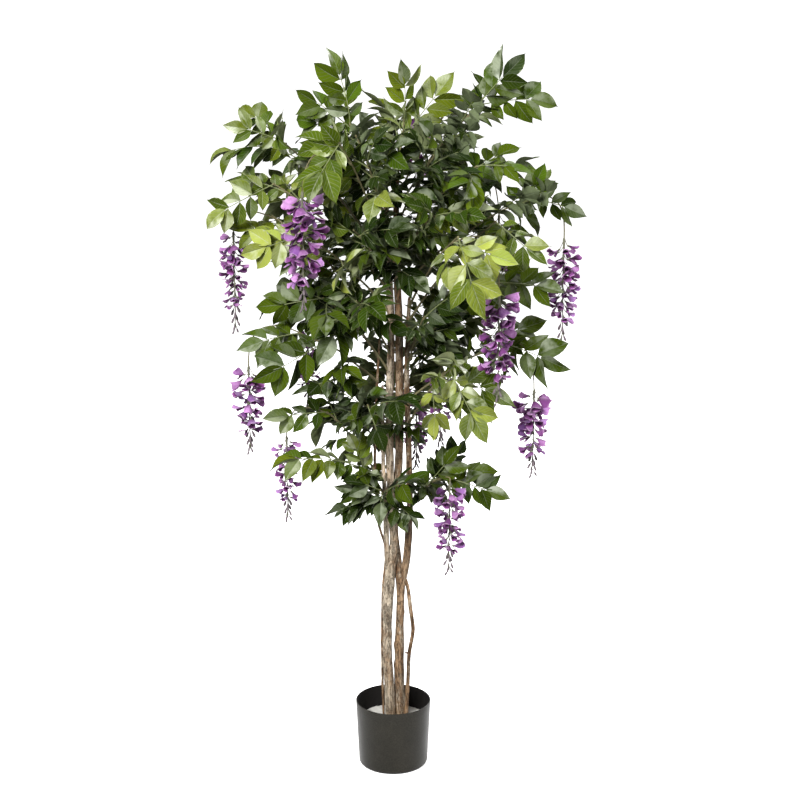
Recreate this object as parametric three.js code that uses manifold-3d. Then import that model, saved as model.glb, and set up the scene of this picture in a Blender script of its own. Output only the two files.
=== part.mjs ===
// A wisteria tree about 1.8 m tall in a plain black pot. Millimetres, +Z up.
// The origin is the middle of the pot's underside, and the front faces -Y.
//
// A thin-walled pot holds a pale plug. Three bundled wooden stems stand in plain
// holes in the plug. Leafy sprays root in sockets drilled into the stems, and each
// raceme hangs by a sleeve pushed onto the end of a spray's arm.

import * as THREE from 'three';
import { mergeVertices } from 'three/addons/utils/BufferGeometryUtils.js';
import Module from 'manifold-3d';

const wasm = await Module();
wasm.setup();

// ---- Driving dimensions ------------------------------------------------------

const CLEARANCE = 0.35;

const POT = { rim: 95.5, base: 87.5, height: 171, wall: 3, floor: 3.5, corner: 9, segments: 28 };
const PLUG = { top: 116, crown: 2.5, footing: 40 };

// A limb this thick or more has seven sides, a thinner one five.
const STOUT = 7;
const TWIG_SIDES = 3;
const TWIG_STEPS = 3;
const TWIG_RADIUS = { root: 3.6, tip: 2.2 };
// A twig's root ends this share of the stem's radius away from its centre line.
const TWIG_ROOT = 0.3;
const ARM_STEPS = 3;
const ARM_RADIUS = { root: 2.2, tip: 1.9 };
// An arm rises by this share of its reach before it hangs down.
const ARM_RISE = 0.5;

const FROND = { foot: 0.9, rib: 2, thick: 1.2, rise: 0.09, droop: 0.24, half: 64, spread: 60 };
const LEAFLET = { root: 5, belly: 0.45 };
const LAST_LEAFLET = { belly: 0.66, wide: 0.9 };
// Where the pairs of leaflets leave the rib, the size of one leaflet, and whether both of
// its edges are round or the upper one is straight.
const FULL_FROND = { pairs: [0.27, 0.52], long: 70, wide: 36, round: true };
const SMALL_FROND = { pairs: [0.4], long: 78, wide: 50, round: false };
// A frond placed by hand that is shorter than this is a small one.
const FULL_LENGTH = 140;

// The room that a frond needs is an oval along its rib, in shares of its length.
const ROOM = { from: 0.2, middle: 0.56, reach: 0.48, steps: 20 };
// How a frond placed by rule may leave its twig: angles in degrees, lengths in mm.
const GROWTH = {
  place: [0.3, 1], yaw: [15, 95], climb: [-0.7, 0.5], length: [150, 185],
  outward: [0.4, 1], upward: [0.3, 0.9], tries: 160,
};

const RACEME_SLEEVE = { radius: 5, long: 10, sides: 4 };
const STALK = { start: 0.02, top: 4.5, tail: 2.5, end: 1 };
// Florets stand in whorls of three round the stalk, from `first` to `last` down its length,
// and reach out by these shares of the raceme's radius. A petal's corners are shares of that.
const WHORL = {
  florets: 3, first: 0.15, last: 0.68, widest: 1.12, narrowest: 0.72,
  turn: 47, tilt: 30, stagger: 9, thick: 1.3,
};
const FLORET = { shoulder: [0.55, 0.52], lobe: [1, 0.32] };
const BUDS = { first: 0.79, step: 0.11, count: 2, radius: 5, neck: 2 };

const COLOURS = {
  pot: { color: 0x2b2c2e, roughness: 0.45 },
  plug: { color: 0xb9b6ae, roughness: 0.95 },
  bark: { color: 0x8f7c66, roughness: 0.9 },
  dark: { color: 0x2f4f22, roughness: 0.6 },
  mid: { color: 0x44692a, roughness: 0.6 },
  bright: { color: 0x86a23a, roughness: 0.6 },
  violet: { color: 0x7d4fa0, roughness: 0.75 },
};

// ---- The stems: centre points [x, y, z, radius] from the foot up --------------

const STEMS = {
  stem_left: [
    [
      [-9, -6, 40, 13.5], [-8, -6, 135, 13.5], [-10, -6, 210, 12.4], [-14, -6, 300, 11.6],
      [-14, -6, 380, 11.6], [-12, -6, 470, 13.4], [-2, -4, 560, 12], [2, -3, 610, 10.2],
      [-7, -3, 770, 9.8], [-8, -4, 960, 9.5], [-4, -5, 1120, 9], [-9, -4, 1260, 8.5],
      [-15, -4, 1400, 7.5], [-16, -4, 1475, 5],
    ],
    [
      [-12, -7, 500, 8], [-16, -7, 583, 7.2], [-19, -7, 690, 6.4], [-24, -4, 800, 5],
      [-25, 4, 900, 4.2], [-26, 6, 1000, 3.4],
    ],
    [[-13, -7, 474, 6], [-27, -9, 487, 4]],
  ],
  stem_right: [
    [
      [18, 6, 40, 12.5], [18, 6, 135, 12.5], [15, 6, 240, 13], [15, 6, 300, 12.2],
      [17, 6, 400, 10], [18, 6, 480, 10.6], [10, 13, 560, 9], [5, 18, 620, 8.5],
      [6, 17, 680, 8.6], [15, 6, 830, 10.2], [16, 6, 960, 10.2], [15, 6, 1120, 9.6],
      [10, 5, 1280, 8.8], [8, 6, 1420, 7.5], [10, 8, 1510, 5],
    ],
    [
      [19, 5, 455, 8], [33, 1, 548, 9.4], [39, -1, 620, 8.8], [42, -2, 690, 7.7],
      [40, -2, 790, 7.4], [37, -1, 890, 7.3], [34, 0, 1010, 6.5], [36, 2, 1120, 5.5],
      [40, 4, 1220, 4],
    ],
    [
      [34, -9, 40, 5], [34, -9, 135, 4.8], [38, -9, 230, 4.8], [41, -9, 300, 5],
      [49, -8, 350, 4.8], [50, -7, 375, 4.8], [44, -5, 420, 4.8], [38, -2, 470, 4.6],
      [31, 1, 500, 4],
    ],
    [[40, -9, 299, 3], [30, -9, 304, 2]],
  ],
  stem_slender: [
    [
      [-25, 3, 40, 3.2], [-25, 3, 135, 3.1], [-28, 3, 250, 3], [-28, 3, 380, 3],
      [-26, 6, 470, 3], [-18, 11, 560, 3], [-22, 11, 590, 3], [-35, 8, 640, 3],
      [-42, 3, 733, 3.4], [-45, 1, 800, 3.4], [-41, 1, 960, 3.3], [-32, 4, 1120, 2.8],
    ],
  ],
};

// ---- The sprays ---------------------------------------------------------------
// Each leaves `limb` of `stem` at `height` and reaches to `tip`, bowed up by `bow`.
// `fronds` are the outer fronds, [place on the twig 0..1, tip of the frond, lean],
// where lean 0 faces the blade up and 1 faces it to the front. `more` is how many
// further fronds grow by rule. `racemes` are [place on the twig, top of the raceme,
// length, radius, whorls of florets].

const SPRAYS = [
  {
    name: 'top_left', stem: 'stem_left', limb: 0, height: 1440, tip: [-99, -40, 1638],
    bow: 20, shade: 'dark', more: 2,
    fronds: [[1, [-153, -60, 1823], 0.3]],
  },
  {
    name: 'top', stem: 'stem_right', limb: 0, height: 1485, tip: [27, 20, 1642],
    bow: 0, shade: 'mid', more: 2,
    fronds: [[1, [22, -30, 1796], 0.3], [0.7, [150, 60, 1752], 0.7]],
  },
  {
    name: 'top_right', stem: 'stem_right', limb: 0, height: 1430, tip: [205, -8, 1682],
    bow: 40, shade: 'dark', more: 2,
    fronds: [[1, [396, 0, 1690], 0.6], [0.9, [312, -40, 1806], 0.7]],
  },
  {
    name: 'right_high', stem: 'stem_right', limb: 0, height: 1340, tip: [195, -70, 1545],
    bow: 40, shade: 'dark', more: 2,
    fronds: [[1, [325, -120, 1531], 0.3], [0.75, [308, 30, 1582], 0.6]],
  },
  {
    name: 'right', stem: 'stem_right', limb: 0, height: 1235, tip: [335, -10, 1462],
    bow: 60, shade: 'dark', more: 2,
    fronds: [[1, [462, -40, 1425], 0.7], [0.93, [370, 10, 1539], 0.7]],
    racemes: [[0.95, [412, 10, 1351], 252, 38, 5]],
  },
  {
    name: 'right_front', stem: 'stem_right', limb: 1, height: 1160, tip: [240, -100, 1420],
    bow: 40, shade: 'bright', more: 1,
    fronds: [[1, [357, -140, 1317], 0.7], [0.55, [284, -70, 1393], 0.6]],
  },
  {
    name: 'front_right', stem: 'stem_right', limb: 1, height: 1195, tip: [150, -200, 1400],
    bow: 40, shade: 'bright', more: 0,
    fronds: [
      [1, [204, -270, 1217], 0.8], [0.9, [290, -200, 1330], 0.7], [0.75, [134, -220, 1272], 0.8],
    ],
    racemes: [[0.86, [250, -130, 1249], 257, 43, 5]],
  },
  {
    name: 'right_low', stem: 'stem_right', limb: 1, height: 1090, tip: [255, -30, 1262],
    bow: 40, shade: 'dark', more: 1,
    fronds: [[1, [414, -70, 1246], 0.6], [0.7, [344, 90, 1283], 0.4]],
  },
  {
    name: 'right_lower', stem: 'stem_right', limb: 1, height: 960, tip: [275, 0, 1105],
    bow: 40, shade: 'dark', more: 2,
    fronds: [[1, [428, -80, 1056], 0.7], [0.7, [375, 100, 1139], 0.4]],
    racemes: [[0.95, [346, 0, 976], 198, 40, 4]],
  },
  {
    name: 'front_low', stem: 'stem_right', limb: 1, height: 900, tip: [135, -120, 1068],
    bow: 30, shade: 'bright', more: 1,
    fronds: [[1, [223, -170, 896], 0.8], [0.85, [297, -110, 983], 0.6], [0.6, [104, -110, 888], 0.7]],
  },
  {
    name: 'lowest_right', stem: 'stem_right', limb: 1, height: 700, tip: [130, -20, 772],
    bow: 25, shade: 'dark', more: 1,
    fronds: [[1, [294, -20, 715], 0.7], [0.8, [262, 20, 778], 0.5], [0.45, [168, -60, 864], 0.7]],
    racemes: [[0.95, [139, -62, 760], 216, 38, 5]],
  },
  {
    name: 'front_left', stem: 'stem_left', limb: 0, height: 1340, tip: [-120, -170, 1610],
    bow: 30, shade: 'bright', more: 1,
    fronds: [[1, [-199, -240, 1484], 0.8], [0.85, [-167, -200, 1656], 0.7]],
    racemes: [[0.85, [-206, -170, 1488], 260, 48, 5]],
  },
  {
    name: 'left_yellow', stem: 'stem_left', limb: 0, height: 1180, tip: [-210, -110, 1390],
    bow: 40, shade: 'bright', more: 1,
    fronds: [[1, [-362, -110, 1337], 0.8], [0.7, [-350, -60, 1385], 0.5]],
  },
  {
    name: 'left_dark', stem: 'stem_left', limb: 0, height: 1030, tip: [-165, -70, 1232],
    bow: 40, shade: 'dark', more: 2,
    fronds: [[1, [-335, -60, 1196], 0.7], [0.7, [-171, -190, 1095], 0.8]],
  },
  {
    name: 'left_arm', stem: 'stem_slender', limb: 0, height: 1010, tip: [-225, -40, 1140],
    bow: 30, shade: 'dark', more: 1,
    fronds: [[1, [-376, -80, 1108], 0.6], [0.7, [-332, -150, 1037], 0.8]],
    racemes: [[0.9, [-352, -10, 1038], 196, 40, 4]],
  },
  {
    name: 'left_edge', stem: 'stem_slender', limb: 0, height: 880, tip: [-105, -60, 1030],
    bow: 20, shade: 'dark', more: 1,
    fronds: [[1, [-240, -110, 1000], 0.2]],
  },
  {
    name: 'low_left', stem: 'stem_slender', limb: 0, height: 780, tip: [-160, -20, 938],
    bow: 30, shade: 'mid', more: 1,
    fronds: [[1, [-318, -60, 926], 0.6], [0.8, [-205, 50, 1015], 0.2]],
    racemes: [[0.95, [-262, -10, 862], 198, 32, 4]],
  },
  {
    name: 'lowest_left', stem: 'stem_left', limb: 1, height: 720, tip: [-82, -10, 795],
    bow: 20, shade: 'mid', more: 0,
    fronds: [[1, [-299, -135, 840], 0.35], [0.75, [-109, -60, 904], 0.7]],
  },
  {
    name: 'low_front', stem: 'stem_left', limb: 0, height: 680, tip: [-30, -75, 755],
    bow: 15, shade: 'dark', more: 0,
    fronds: [
      [1, [-122, -105, 801], 0.7], [0.85, [-41, -120, 674], 0.9], [0.6, [39, -110, 657], 0.15],
    ],
  },
  {
    name: 'left_high', stem: 'stem_left', limb: 0, height: 1300, tip: [-262, -20, 1600],
    bow: 50, shade: 'mid', more: 2,
    fronds: [[1, [-398, -50, 1642], 0.7], [0.92, [-448, 20, 1548], 0.3], [0.75, [-338, 120, 1572], 0.5]],
  },
  {
    name: 'left', stem: 'stem_left', limb: 0, height: 1235, tip: [-280, -40, 1500],
    bow: 50, shade: 'bright', more: 1,
    fronds: [[1, [-458, -70, 1407], 0.8], [0.9, [-401, 20, 1506], 0.5]],
  },
  {
    name: 'left_mid', stem: 'stem_left', limb: 0, height: 1120, tip: [-290, 0, 1420],
    bow: 50, shade: 'mid', more: 1,
    fronds: [[0.8, [-396, -15, 1387], 0.6]],
    racemes: [[0.95, [-383, 10, 1366], 226, 34, 5]],
  },
  {
    name: 'inner_top_left', stem: 'stem_left', limb: 0, height: 1395, tip: [-60, -110, 1560],
    bow: 20, shade: 'dark', more: 3, fronds: [],
  },
  {
    name: 'inner_top_right', stem: 'stem_right', limb: 0, height: 1390, tip: [100, -110, 1580],
    bow: 20, shade: 'dark', more: 2, fronds: [],
  },
  {
    name: 'inner_left', stem: 'stem_left', limb: 0, height: 1255, tip: [-90, -160, 1410],
    bow: 30, shade: 'dark', more: 2, fronds: [],
  },
  {
    name: 'inner_right', stem: 'stem_right', limb: 0, height: 1290, tip: [95, -150, 1440],
    bow: 30, shade: 'mid', more: 3, fronds: [],
  },
  {
    name: 'inner_low_left', stem: 'stem_left', limb: 0, height: 1075, tip: [-85, -140, 1240],
    bow: 30, shade: 'mid', more: 2, fronds: [],
  },
  {
    name: 'inner_low_right', stem: 'stem_right', limb: 1, height: 1040, tip: [75, -130, 1200],
    bow: 30, shade: 'dark', more: 2, fronds: [],
  },
  {
    name: 'inner_lowest', stem: 'stem_left', limb: 0, height: 880, tip: [-60, -110, 980],
    bow: 20, shade: 'dark', more: 2, fronds: [[1, [-21, -110, 863], 0.7]],
  },
  {
    name: 'back_top_left', stem: 'stem_left', limb: 0, height: 1410, tip: [-110, 130, 1600],
    bow: 20, shade: 'mid', more: 3, fronds: [],
  },
  {
    name: 'back_top_right', stem: 'stem_right', limb: 0, height: 1450, tip: [120, 130, 1640],
    bow: 30, shade: 'mid', more: 3, fronds: [],
    racemes: [[0.5, [60, 150, 1640], 180, 32, 4]],
  },
  {
    name: 'back_left', stem: 'stem_left', limb: 0, height: 1275, tip: [-220, 160, 1450],
    bow: 50, shade: 'mid', more: 2, fronds: [],
  },
  {
    name: 'back_right', stem: 'stem_right', limb: 0, height: 1305, tip: [220, 160, 1470],
    bow: 50, shade: 'dark', more: 3, fronds: [],
    racemes: [[1, [265, 195, 1380], 230, 38, 4]],
  },
  {
    name: 'back', stem: 'stem_right', limb: 0, height: 1190, tip: [-20, 240, 1360],
    bow: 50, shade: 'dark', more: 3, fronds: [],
  },
  {
    name: 'back_low_left', stem: 'stem_slender', limb: 0, height: 1070, tip: [-190, 140, 1220],
    bow: 40, shade: 'dark', more: 2, fronds: [],
    racemes: [[0.85, [-212, 104, 1105], 170, 30, 4]],
  },
  {
    name: 'back_low_right', stem: 'stem_right', limb: 0, height: 1030, tip: [190, 150, 1180],
    bow: 40, shade: 'mid', more: 3, fronds: [],
    racemes: [[0.7, [118, 60, 1010], 170, 30, 4]],
  },
  {
    name: 'back_low', stem: 'stem_right', limb: 0, height: 860, tip: [30, 180, 1000],
    bow: 40, shade: 'mid', more: 3, fronds: [],
    racemes: [[1, [60, 225, 930], 200, 36, 4]],
  },
  {
    name: 'back_lowest', stem: 'stem_left', limb: 1, height: 830, tip: [-130, 120, 920],
    bow: 30, shade: 'dark', more: 2, fronds: [],
  },
];

// ---- Small tools --------------------------------------------------------------

const UP = new THREE.Vector3(0, 0, 1);
const radians = THREE.MathUtils.degToRad;
const mix = THREE.MathUtils.lerp;
const vec = (p) => new THREE.Vector3(p[0], p[1], p[2]);

function seeded(seed) {
  let state = seed;
  return (low, high) => {
    state = (Math.imul(state, 1664525) + 1013904223) >>> 0;
    return low + (high - low) * (state / 4294967296);
  };
}

/** The part of `aim` that stands square to the unit vector `axis`, as a unit vector. */
function square(aim, axis) {
  return aim.clone().addScaledVector(axis, -aim.dot(axis)).normalize();
}

function solidFrom(positions, triangles) {
  return new wasm.Manifold(new wasm.Mesh({
    numProp: 3,
    vertProperties: new Float32Array(positions),
    triVerts: new Uint32Array(triangles),
  }));
}

function solidFromGeometry(geometry) {
  const bare = geometry.clone();
  bare.deleteAttribute('normal');
  bare.deleteAttribute('uv');
  const merged = mergeVertices(bare, 1e-4);
  return solidFrom(merged.attributes.position.array, merged.index.array);
}

/** A closed tube round the points, with its own radius at each. */
function tube(points, radii, sides) {
  const positions = [];
  const triangles = [];
  let side = null;
  points.forEach((point, i) => {
    const before = points[Math.max(0, i - 1)];
    const after = points[Math.min(points.length - 1, i + 1)];
    const along = after.clone().sub(before).normalize();
    const aim = side ?? (Math.abs(along.z) > 0.8 ? new THREE.Vector3(1, 0, 0) : UP);
    side = square(aim, along);
    const other = along.clone().cross(side);
    for (let k = 0; k < sides; k += 1) {
      const angle = (2 * Math.PI * (k + 0.5)) / sides;
      const corner = point.clone()
        .addScaledVector(side, radii[i] * Math.cos(angle))
        .addScaledVector(other, radii[i] * Math.sin(angle));
      positions.push(corner.x, corner.y, corner.z);
    }
  });
  const last = (points.length - 1) * sides;
  for (let ring = 0; ring < last; ring += sides) {
    for (let k = 0; k < sides; k += 1) {
      const next = (k + 1) % sides;
      triangles.push(ring + k, ring + next, ring + sides + next);
      triangles.push(ring + k, ring + sides + next, ring + sides + k);
    }
  }
  for (let k = 1; k < sides - 1; k += 1) {
    triangles.push(0, k + 1, k);
    triangles.push(last, last + k, last + k + 1);
  }
  return solidFrom(positions, triangles);
}

/** The same tube made wider and longer by the clearance, to cut a socket with. */
function socket(points, radii, sides) {
  const gap = CLEARANCE / Math.cos(Math.PI / sides);
  const first = points[0].clone().sub(points[1]).setLength(CLEARANCE).add(points[0]);
  const end = points.at(-1).clone().sub(points.at(-2)).setLength(CLEARANCE).add(points.at(-1));
  const longer = [first, ...points.slice(1, -1), end];
  return tube(longer, radii.map((radius) => radius + gap), sides);
}

/** A thin plate with a cut outline; `place` bends the flat outline into its shape. */
function plate(outline, thickness, normal, place) {
  const count = outline.length;
  const flat = outline.map(([a, w]) => new THREE.Vector2(a, w));
  const faces = THREE.ShapeUtils.triangulateShape(flat, []);
  const positions = [];
  for (const side of [0.5, -0.5]) {
    for (const [a, w] of outline) {
      const point = place(a, w).addScaledVector(normal, side * thickness);
      positions.push(point.x, point.y, point.z);
    }
  }
  const triangles = [];
  for (const [a, b, c] of faces) {
    triangles.push(a, b, c);
    triangles.push(count + a, count + c, count + b);
  }
  for (let i = 0; i < count; i += 1) {
    const next = (i + 1) % count;
    triangles.push(i, count + i, count + next);
    triangles.push(i, count + next, next);
  }
  return solidFrom(positions, triangles);
}

/** The largest body of a solid: loose scraps and sealed hollows are left out. */
function largest(solid) {
  return solid.decompose().reduce((a, b) => (b.volume() > a.volume() ? b : a));
}

function meshOf(name, solid, colour) {
  const { vertProperties, triVerts } = largest(solid).getMesh();
  const geometry = new THREE.BufferGeometry();
  geometry.setAttribute('position', new THREE.BufferAttribute(vertProperties, 3));
  geometry.setIndex(new THREE.BufferAttribute(triVerts, 1));
  geometry.computeVertexNormals();
  const mesh = new THREE.Mesh(geometry, new THREE.MeshStandardMaterial({ metalness: 0, ...colour }));
  mesh.name = name;
  return mesh;
}

// ---- Room in the crown ----------------------------------------------------------
// Cells that something already fills, so that a frond placed by rule keeps clear.

const CELL = 8;
const filled = new Set();

function cellOf(value) {
  return Math.floor(value / CELL) + 512;
}

function claim(points) {
  for (const point of points) {
    const [i, j, k] = [cellOf(point.x), cellOf(point.y), cellOf(point.z)];
    for (let di = -1; di <= 1; di += 1) {
      for (let dj = -1; dj <= 1; dj += 1) {
        for (let dk = -1; dk <= 1; dk += 1) {
          filled.add(((i + di) * 1024 + j + dj) * 1024 + k + dk);
        }
      }
    }
  }
}

function isFree(points) {
  return points.every((point) => {
    const key = (cellOf(point.x) * 1024 + cellOf(point.y)) * 1024 + cellOf(point.z);
    return !filled.has(key);
  });
}

// ---- Stems ----------------------------------------------------------------------

function limbSolid(limb, build) {
  const sides = limb[0][3] < STOUT ? 5 : 7;
  return build(limb.map(vec), limb.map((point) => point[3]), sides);
}

/** The point of a limb's centre line at a height, with its radius there. */
function limbAt(limb, height) {
  const top = limb.findIndex((point) => point[2] > height);
  const [low, high] = [limb[top - 1], limb[top]];
  const share = (height - low[2]) / (high[2] - low[2]);
  return { point: vec(low).lerp(vec(high), share), radius: mix(low[3], high[3], share) };
}

function claimLimb(limb) {
  const height = limb.at(-1)[2] - limb[0][2];
  for (let step = 0; step < height; step += CELL) {
    const { point, radius } = limbAt(limb, limb[0][2] + step);
    for (let turn = 0; turn < 8; turn += 1) {
      const angle = (turn * Math.PI) / 4;
      const rim = new THREE.Vector3(Math.cos(angle), Math.sin(angle), 0);
      claim([rim.multiplyScalar(radius).add(point)]);
    }
  }
}

// ---- Twigs and arms ---------------------------------------------------------------

function taper(radius, count) {
  return Array.from({ length: count }, (_, i) => mix(radius.root, radius.tip, i / (count - 1)));
}

/** The point at share `place` of a twig, from 0 at the root to 1 at the tip. */
function onTwig({ points }, place) {
  const step = Math.min(Math.floor(place * TWIG_STEPS), TWIG_STEPS - 1);
  return points[step].clone().lerp(points[step + 1], place * TWIG_STEPS - step);
}

function twigOf(spray) {
  const { point, radius } = limbAt(STEMS[spray.stem][spray.limb], spray.height);
  const tip = vec(spray.tip);
  const handle = point.clone().lerp(tip, 0.5).addScaledVector(UP, spray.bow);
  const outward = handle.clone().sub(point).normalize();
  const root = point.clone().addScaledVector(outward, TWIG_ROOT * radius);
  const curve = new THREE.QuadraticBezierCurve3(root, handle, tip);
  return { curve, points: curve.getPoints(TWIG_STEPS), radii: taper(TWIG_RADIUS, TWIG_STEPS + 1) };
}

/** The arm that carries a raceme: it leaves the twig and ends pointing straight down. */
function armOf(twig, [place, top]) {
  const root = onTwig(twig, place);
  const end = vec(top);
  const rise = ARM_RISE * Math.hypot(end.x - root.x, end.y - root.y);
  const handle = new THREE.Vector3(end.x, end.y, Math.max(root.z, end.z) + rise);
  const hook = end.clone().addScaledVector(UP, RACEME_SLEEVE.long);
  const curve = new THREE.QuadraticBezierCurve3(root, handle, hook);
  const points = [...curve.getPoints(ARM_STEPS), end];
  return { points, radii: taper(ARM_RADIUS, points.length) };
}

// ---- Fronds -----------------------------------------------------------------------

function makeFrond(root, tip, facing, whole) {
  const length = tip.distanceTo(root);
  const along = tip.clone().sub(root).normalize();
  const normal = square(facing, along);
  const across = normal.clone().cross(along);
  const kind = whole && length > FULL_LENGTH ? FULL_FROND : SMALL_FROND;
  return { root, along, normal, across, length, kind };
}

/** A point of the frond's surface, `a` along it and `w` to its side. */
function frondPoint(frond, a, w) {
  const t = a / frond.length;
  const lift = FROND.rise * frond.length * 4 * t * (1 - t) - FROND.droop * Math.abs(w);
  return frond.root.clone()
    .addScaledVector(frond.along, a)
    .addScaledVector(frond.across, w)
    .addScaledVector(frond.normal, lift);
}

/** The room that a frond takes, as points over its whole spread. */
function frondRoom(frond) {
  const points = [];
  const across = Math.ceil(FROND.half / CELL);
  for (let i = 0; i <= ROOM.steps; i += 1) {
    const t = ROOM.from + ((1 - ROOM.from) * i) / ROOM.steps;
    const share = (t - ROOM.middle) / ROOM.reach;
    const half = FROND.half * Math.sqrt(Math.max(0, 1 - share * share));
    for (let j = -across; j <= across; j += 1) {
      if (Math.abs(j * CELL) <= half) {
        points.push(frondPoint(frond, t * frond.length, j * CELL));
      }
    }
  }
  return points;
}

/** One side of the cut outline, from the foot of the rib to the frond's tip. */
function frondSide({ length, kind }) {
  const [forward, outward] = [Math.cos(radians(FROND.spread)), Math.sin(radians(FROND.spread))];
  const half = kind.wide / 2;
  const roots = kind.pairs.map((pair) => pair * length);
  const side = [[0, FROND.foot]];
  roots.forEach((root) => {
    const bellyAlong = root + forward * LEAFLET.belly * kind.long;
    const bellyOut = FROND.rib + outward * LEAFLET.belly * kind.long;
    side.push([root - LEAFLET.root, FROND.rib]);
    side.push([bellyAlong - outward * half, bellyOut + forward * half]);
    side.push([root + forward * kind.long, FROND.rib + outward * kind.long]);
    if (kind.round) {
      side.push([bellyAlong + outward * half, bellyOut - forward * half]);
    }
    side.push([root + LEAFLET.root, FROND.rib]);
  });
  side.push([mix(roots.at(-1), length, LAST_LEAFLET.belly), half * LAST_LEAFLET.wide]);
  return side;
}

function frondSolid(frond) {
  const left = frondSide(frond);
  const right = left.map(([a, w]) => [a, -w]);
  const outline = [...right, [frond.length, 0], ...left.reverse()];
  return plate(outline, FROND.thick, frond.normal, (a, w) => frondPoint(frond, a, w));
}

/** Fronds that grow along a twig by rule, each turned until it has room. */
function ruledFronds(spray, twig, random) {
  const fronds = [];
  for (let n = 0; n < spray.more; n += 1) {
    for (let attempt = 0; attempt < GROWTH.tries; attempt += 1) {
      const place = mix(...GROWTH.place, (n + random(0, 1)) / spray.more);
      const root = onTwig(twig, place);
      const forward = twig.curve.getTangent(place);
      const hand = (n + attempt) % 2 ? 1 : -1;
      const aside = forward.clone().cross(UP).normalize().multiplyScalar(hand);
      const yaw = radians(random(...GROWTH.yaw));
      const along = forward.multiplyScalar(Math.cos(yaw)).addScaledVector(aside, Math.sin(yaw));
      along.z += random(...GROWTH.climb);
      const tip = root.clone().addScaledVector(along.normalize(), random(...GROWTH.length));
      const outward = new THREE.Vector3(tip.x, tip.y, 0).normalize();
      const facing = outward.multiplyScalar(random(...GROWTH.outward));
      facing.z += random(...GROWTH.upward);
      const frond = makeFrond(root, tip, facing, false);
      const room = frondRoom(frond);
      if (isFree(room)) {
        claim(room);
        fronds.push(frond);
        break;
      }
    }
  }
  return fronds;
}

// ---- Racemes ------------------------------------------------------------------------

function racemeAxis(top, length, t) {
  return new THREE.Vector3(top.x, top.y, top.z + RACEME_SLEEVE.long - (length + RACEME_SLEEVE.long) * t);
}

/** A point beside the raceme's axis, at share `t` down it. */
function beside(axis, t, turn, out, drop = 0) {
  return axis(t).add(new THREE.Vector3(out * Math.cos(turn), out * Math.sin(turn), -drop));
}

/**
 * The hanging raceme as one closed skin. Its stalk has three corners, which are also the
 * notches between the three petals of each whorl, and the tail swells into buds.
 */
function racemeSolid([, topPoint, length, radius, whorls]) {
  const top = vec(topPoint);
  const axis = (t) => racemeAxis(top, length, t);
  const step = (2 * Math.PI) / WHORL.florets;
  const positions = [];
  const triangles = [];
  const put = (point) => positions.push(point.x, point.y, point.z) / 3 - 1;
  const ring = (t, turn, out) => [0, 1, 2].map((k) => put(beside(axis, t, turn + k * step, out)));
  const band = (above, below) => {
    for (let k = 0; k < WHORL.florets; k += 1) {
      const next = (k + 1) % WHORL.florets;
      triangles.push(above[k], below[k], below[next], above[k], below[next], above[next]);
    }
  };
  const first = ring(STALK.start, 0, STALK.top);
  triangles.push(...first);
  let last = first;
  for (let n = 0; n < whorls; n += 1) {
    const share = n / (whorls - 1);
    const t = mix(WHORL.first, WHORL.last, share);
    const reach = radius * mix(WHORL.widest, WHORL.narrowest, share);
    const turn = radians(n * WHORL.turn);
    const out = mix(STALK.top, STALK.tail, share);
    const notches = [ring(t, turn, out), ring(t + WHORL.thick / length, turn, out)];
    band(last, notches[0]);
    for (let k = 0; k < WHORL.florets; k += 1) {
      const next = (k + 1) % WHORL.florets;
      const middle = turn + (k + 0.5) * step;
      const slope = Math.tan(radians(WHORL.tilt + WHORL.stagger * Math.cos(2.4 * (k + n))));
      const { shoulder, lobe } = FLORET;
      const petal = [shoulder, lobe].map(([a, w]) => [a, -w]).concat([lobe, shoulder]);
      const faces = notches.map((notch, below) => [
        notch[k],
        ...petal.map(([a, w]) => {
          const place = [middle + Math.atan2(w, a), reach * Math.hypot(a, w)];
          return put(beside(axis, t, ...place, a * reach * slope + below * WHORL.thick));
        }),
        notch[next],
      ]);
      for (let i = 1; i < 5; i += 1) {
        triangles.push(faces[0][0], faces[0][i], faces[0][i + 1]);
        triangles.push(faces[1][0], faces[1][i + 1], faces[1][i]);
      }
      for (let i = 0; i < 5; i += 1) {
        triangles.push(faces[0][i], faces[1][i], faces[1][i + 1]);
        triangles.push(faces[0][i], faces[1][i + 1], faces[0][i + 1]);
      }
    }
    last = notches[1];
  }
  for (let n = 0; n < BUDS.count; n += 1) {
    const t = BUDS.first + n * BUDS.step;
    for (const [place, out] of [[t - 0.4 * BUDS.step, BUDS.neck], [t, BUDS.radius - n]]) {
      const next = ring(place, radians(whorls * WHORL.turn), out);
      band(last, next);
      last = next;
    }
  }
  const end = ring(1, radians(whorls * WHORL.turn), STALK.end);
  band(last, end);
  triangles.push(...[...end].reverse());
  const sleeve = [axis(0), beside(axis, 0, 0, 0, 2 * RACEME_SLEEVE.long)];
  const radii = [RACEME_SLEEVE.radius, RACEME_SLEEVE.radius];
  return solidFrom(positions, triangles).add(tube(sleeve, radii, RACEME_SLEEVE.sides));
}

/** Fills the room round a raceme, as rings of points. */
function claimRaceme([, topPoint, length, radius]) {
  const top = vec(topPoint);
  const steps = Math.ceil(length / CELL);
  for (let step = 0; step <= steps; step += 1) {
    const axis = (t) => racemeAxis(top, length, t);
    for (let out = 0; out < radius * WHORL.widest; out += CELL) {
      for (let turn = 0; turn < 24; turn += 1) {
        claim([beside(axis, step / steps, (turn * Math.PI) / 12, out)]);
      }
    }
  }
}

// ---- Pot and plug ---------------------------------------------------------------------

function lathe(profile) {
  const outline = profile.map(([radius, height]) => new THREE.Vector2(radius, height));
  const geometry = new THREE.LatheGeometry(outline, POT.segments);
  geometry.rotateX(Math.PI / 2);
  return solidFromGeometry(geometry);
}

function potRadius(height) {
  return mix(POT.base, POT.rim, height / POT.height);
}

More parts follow.
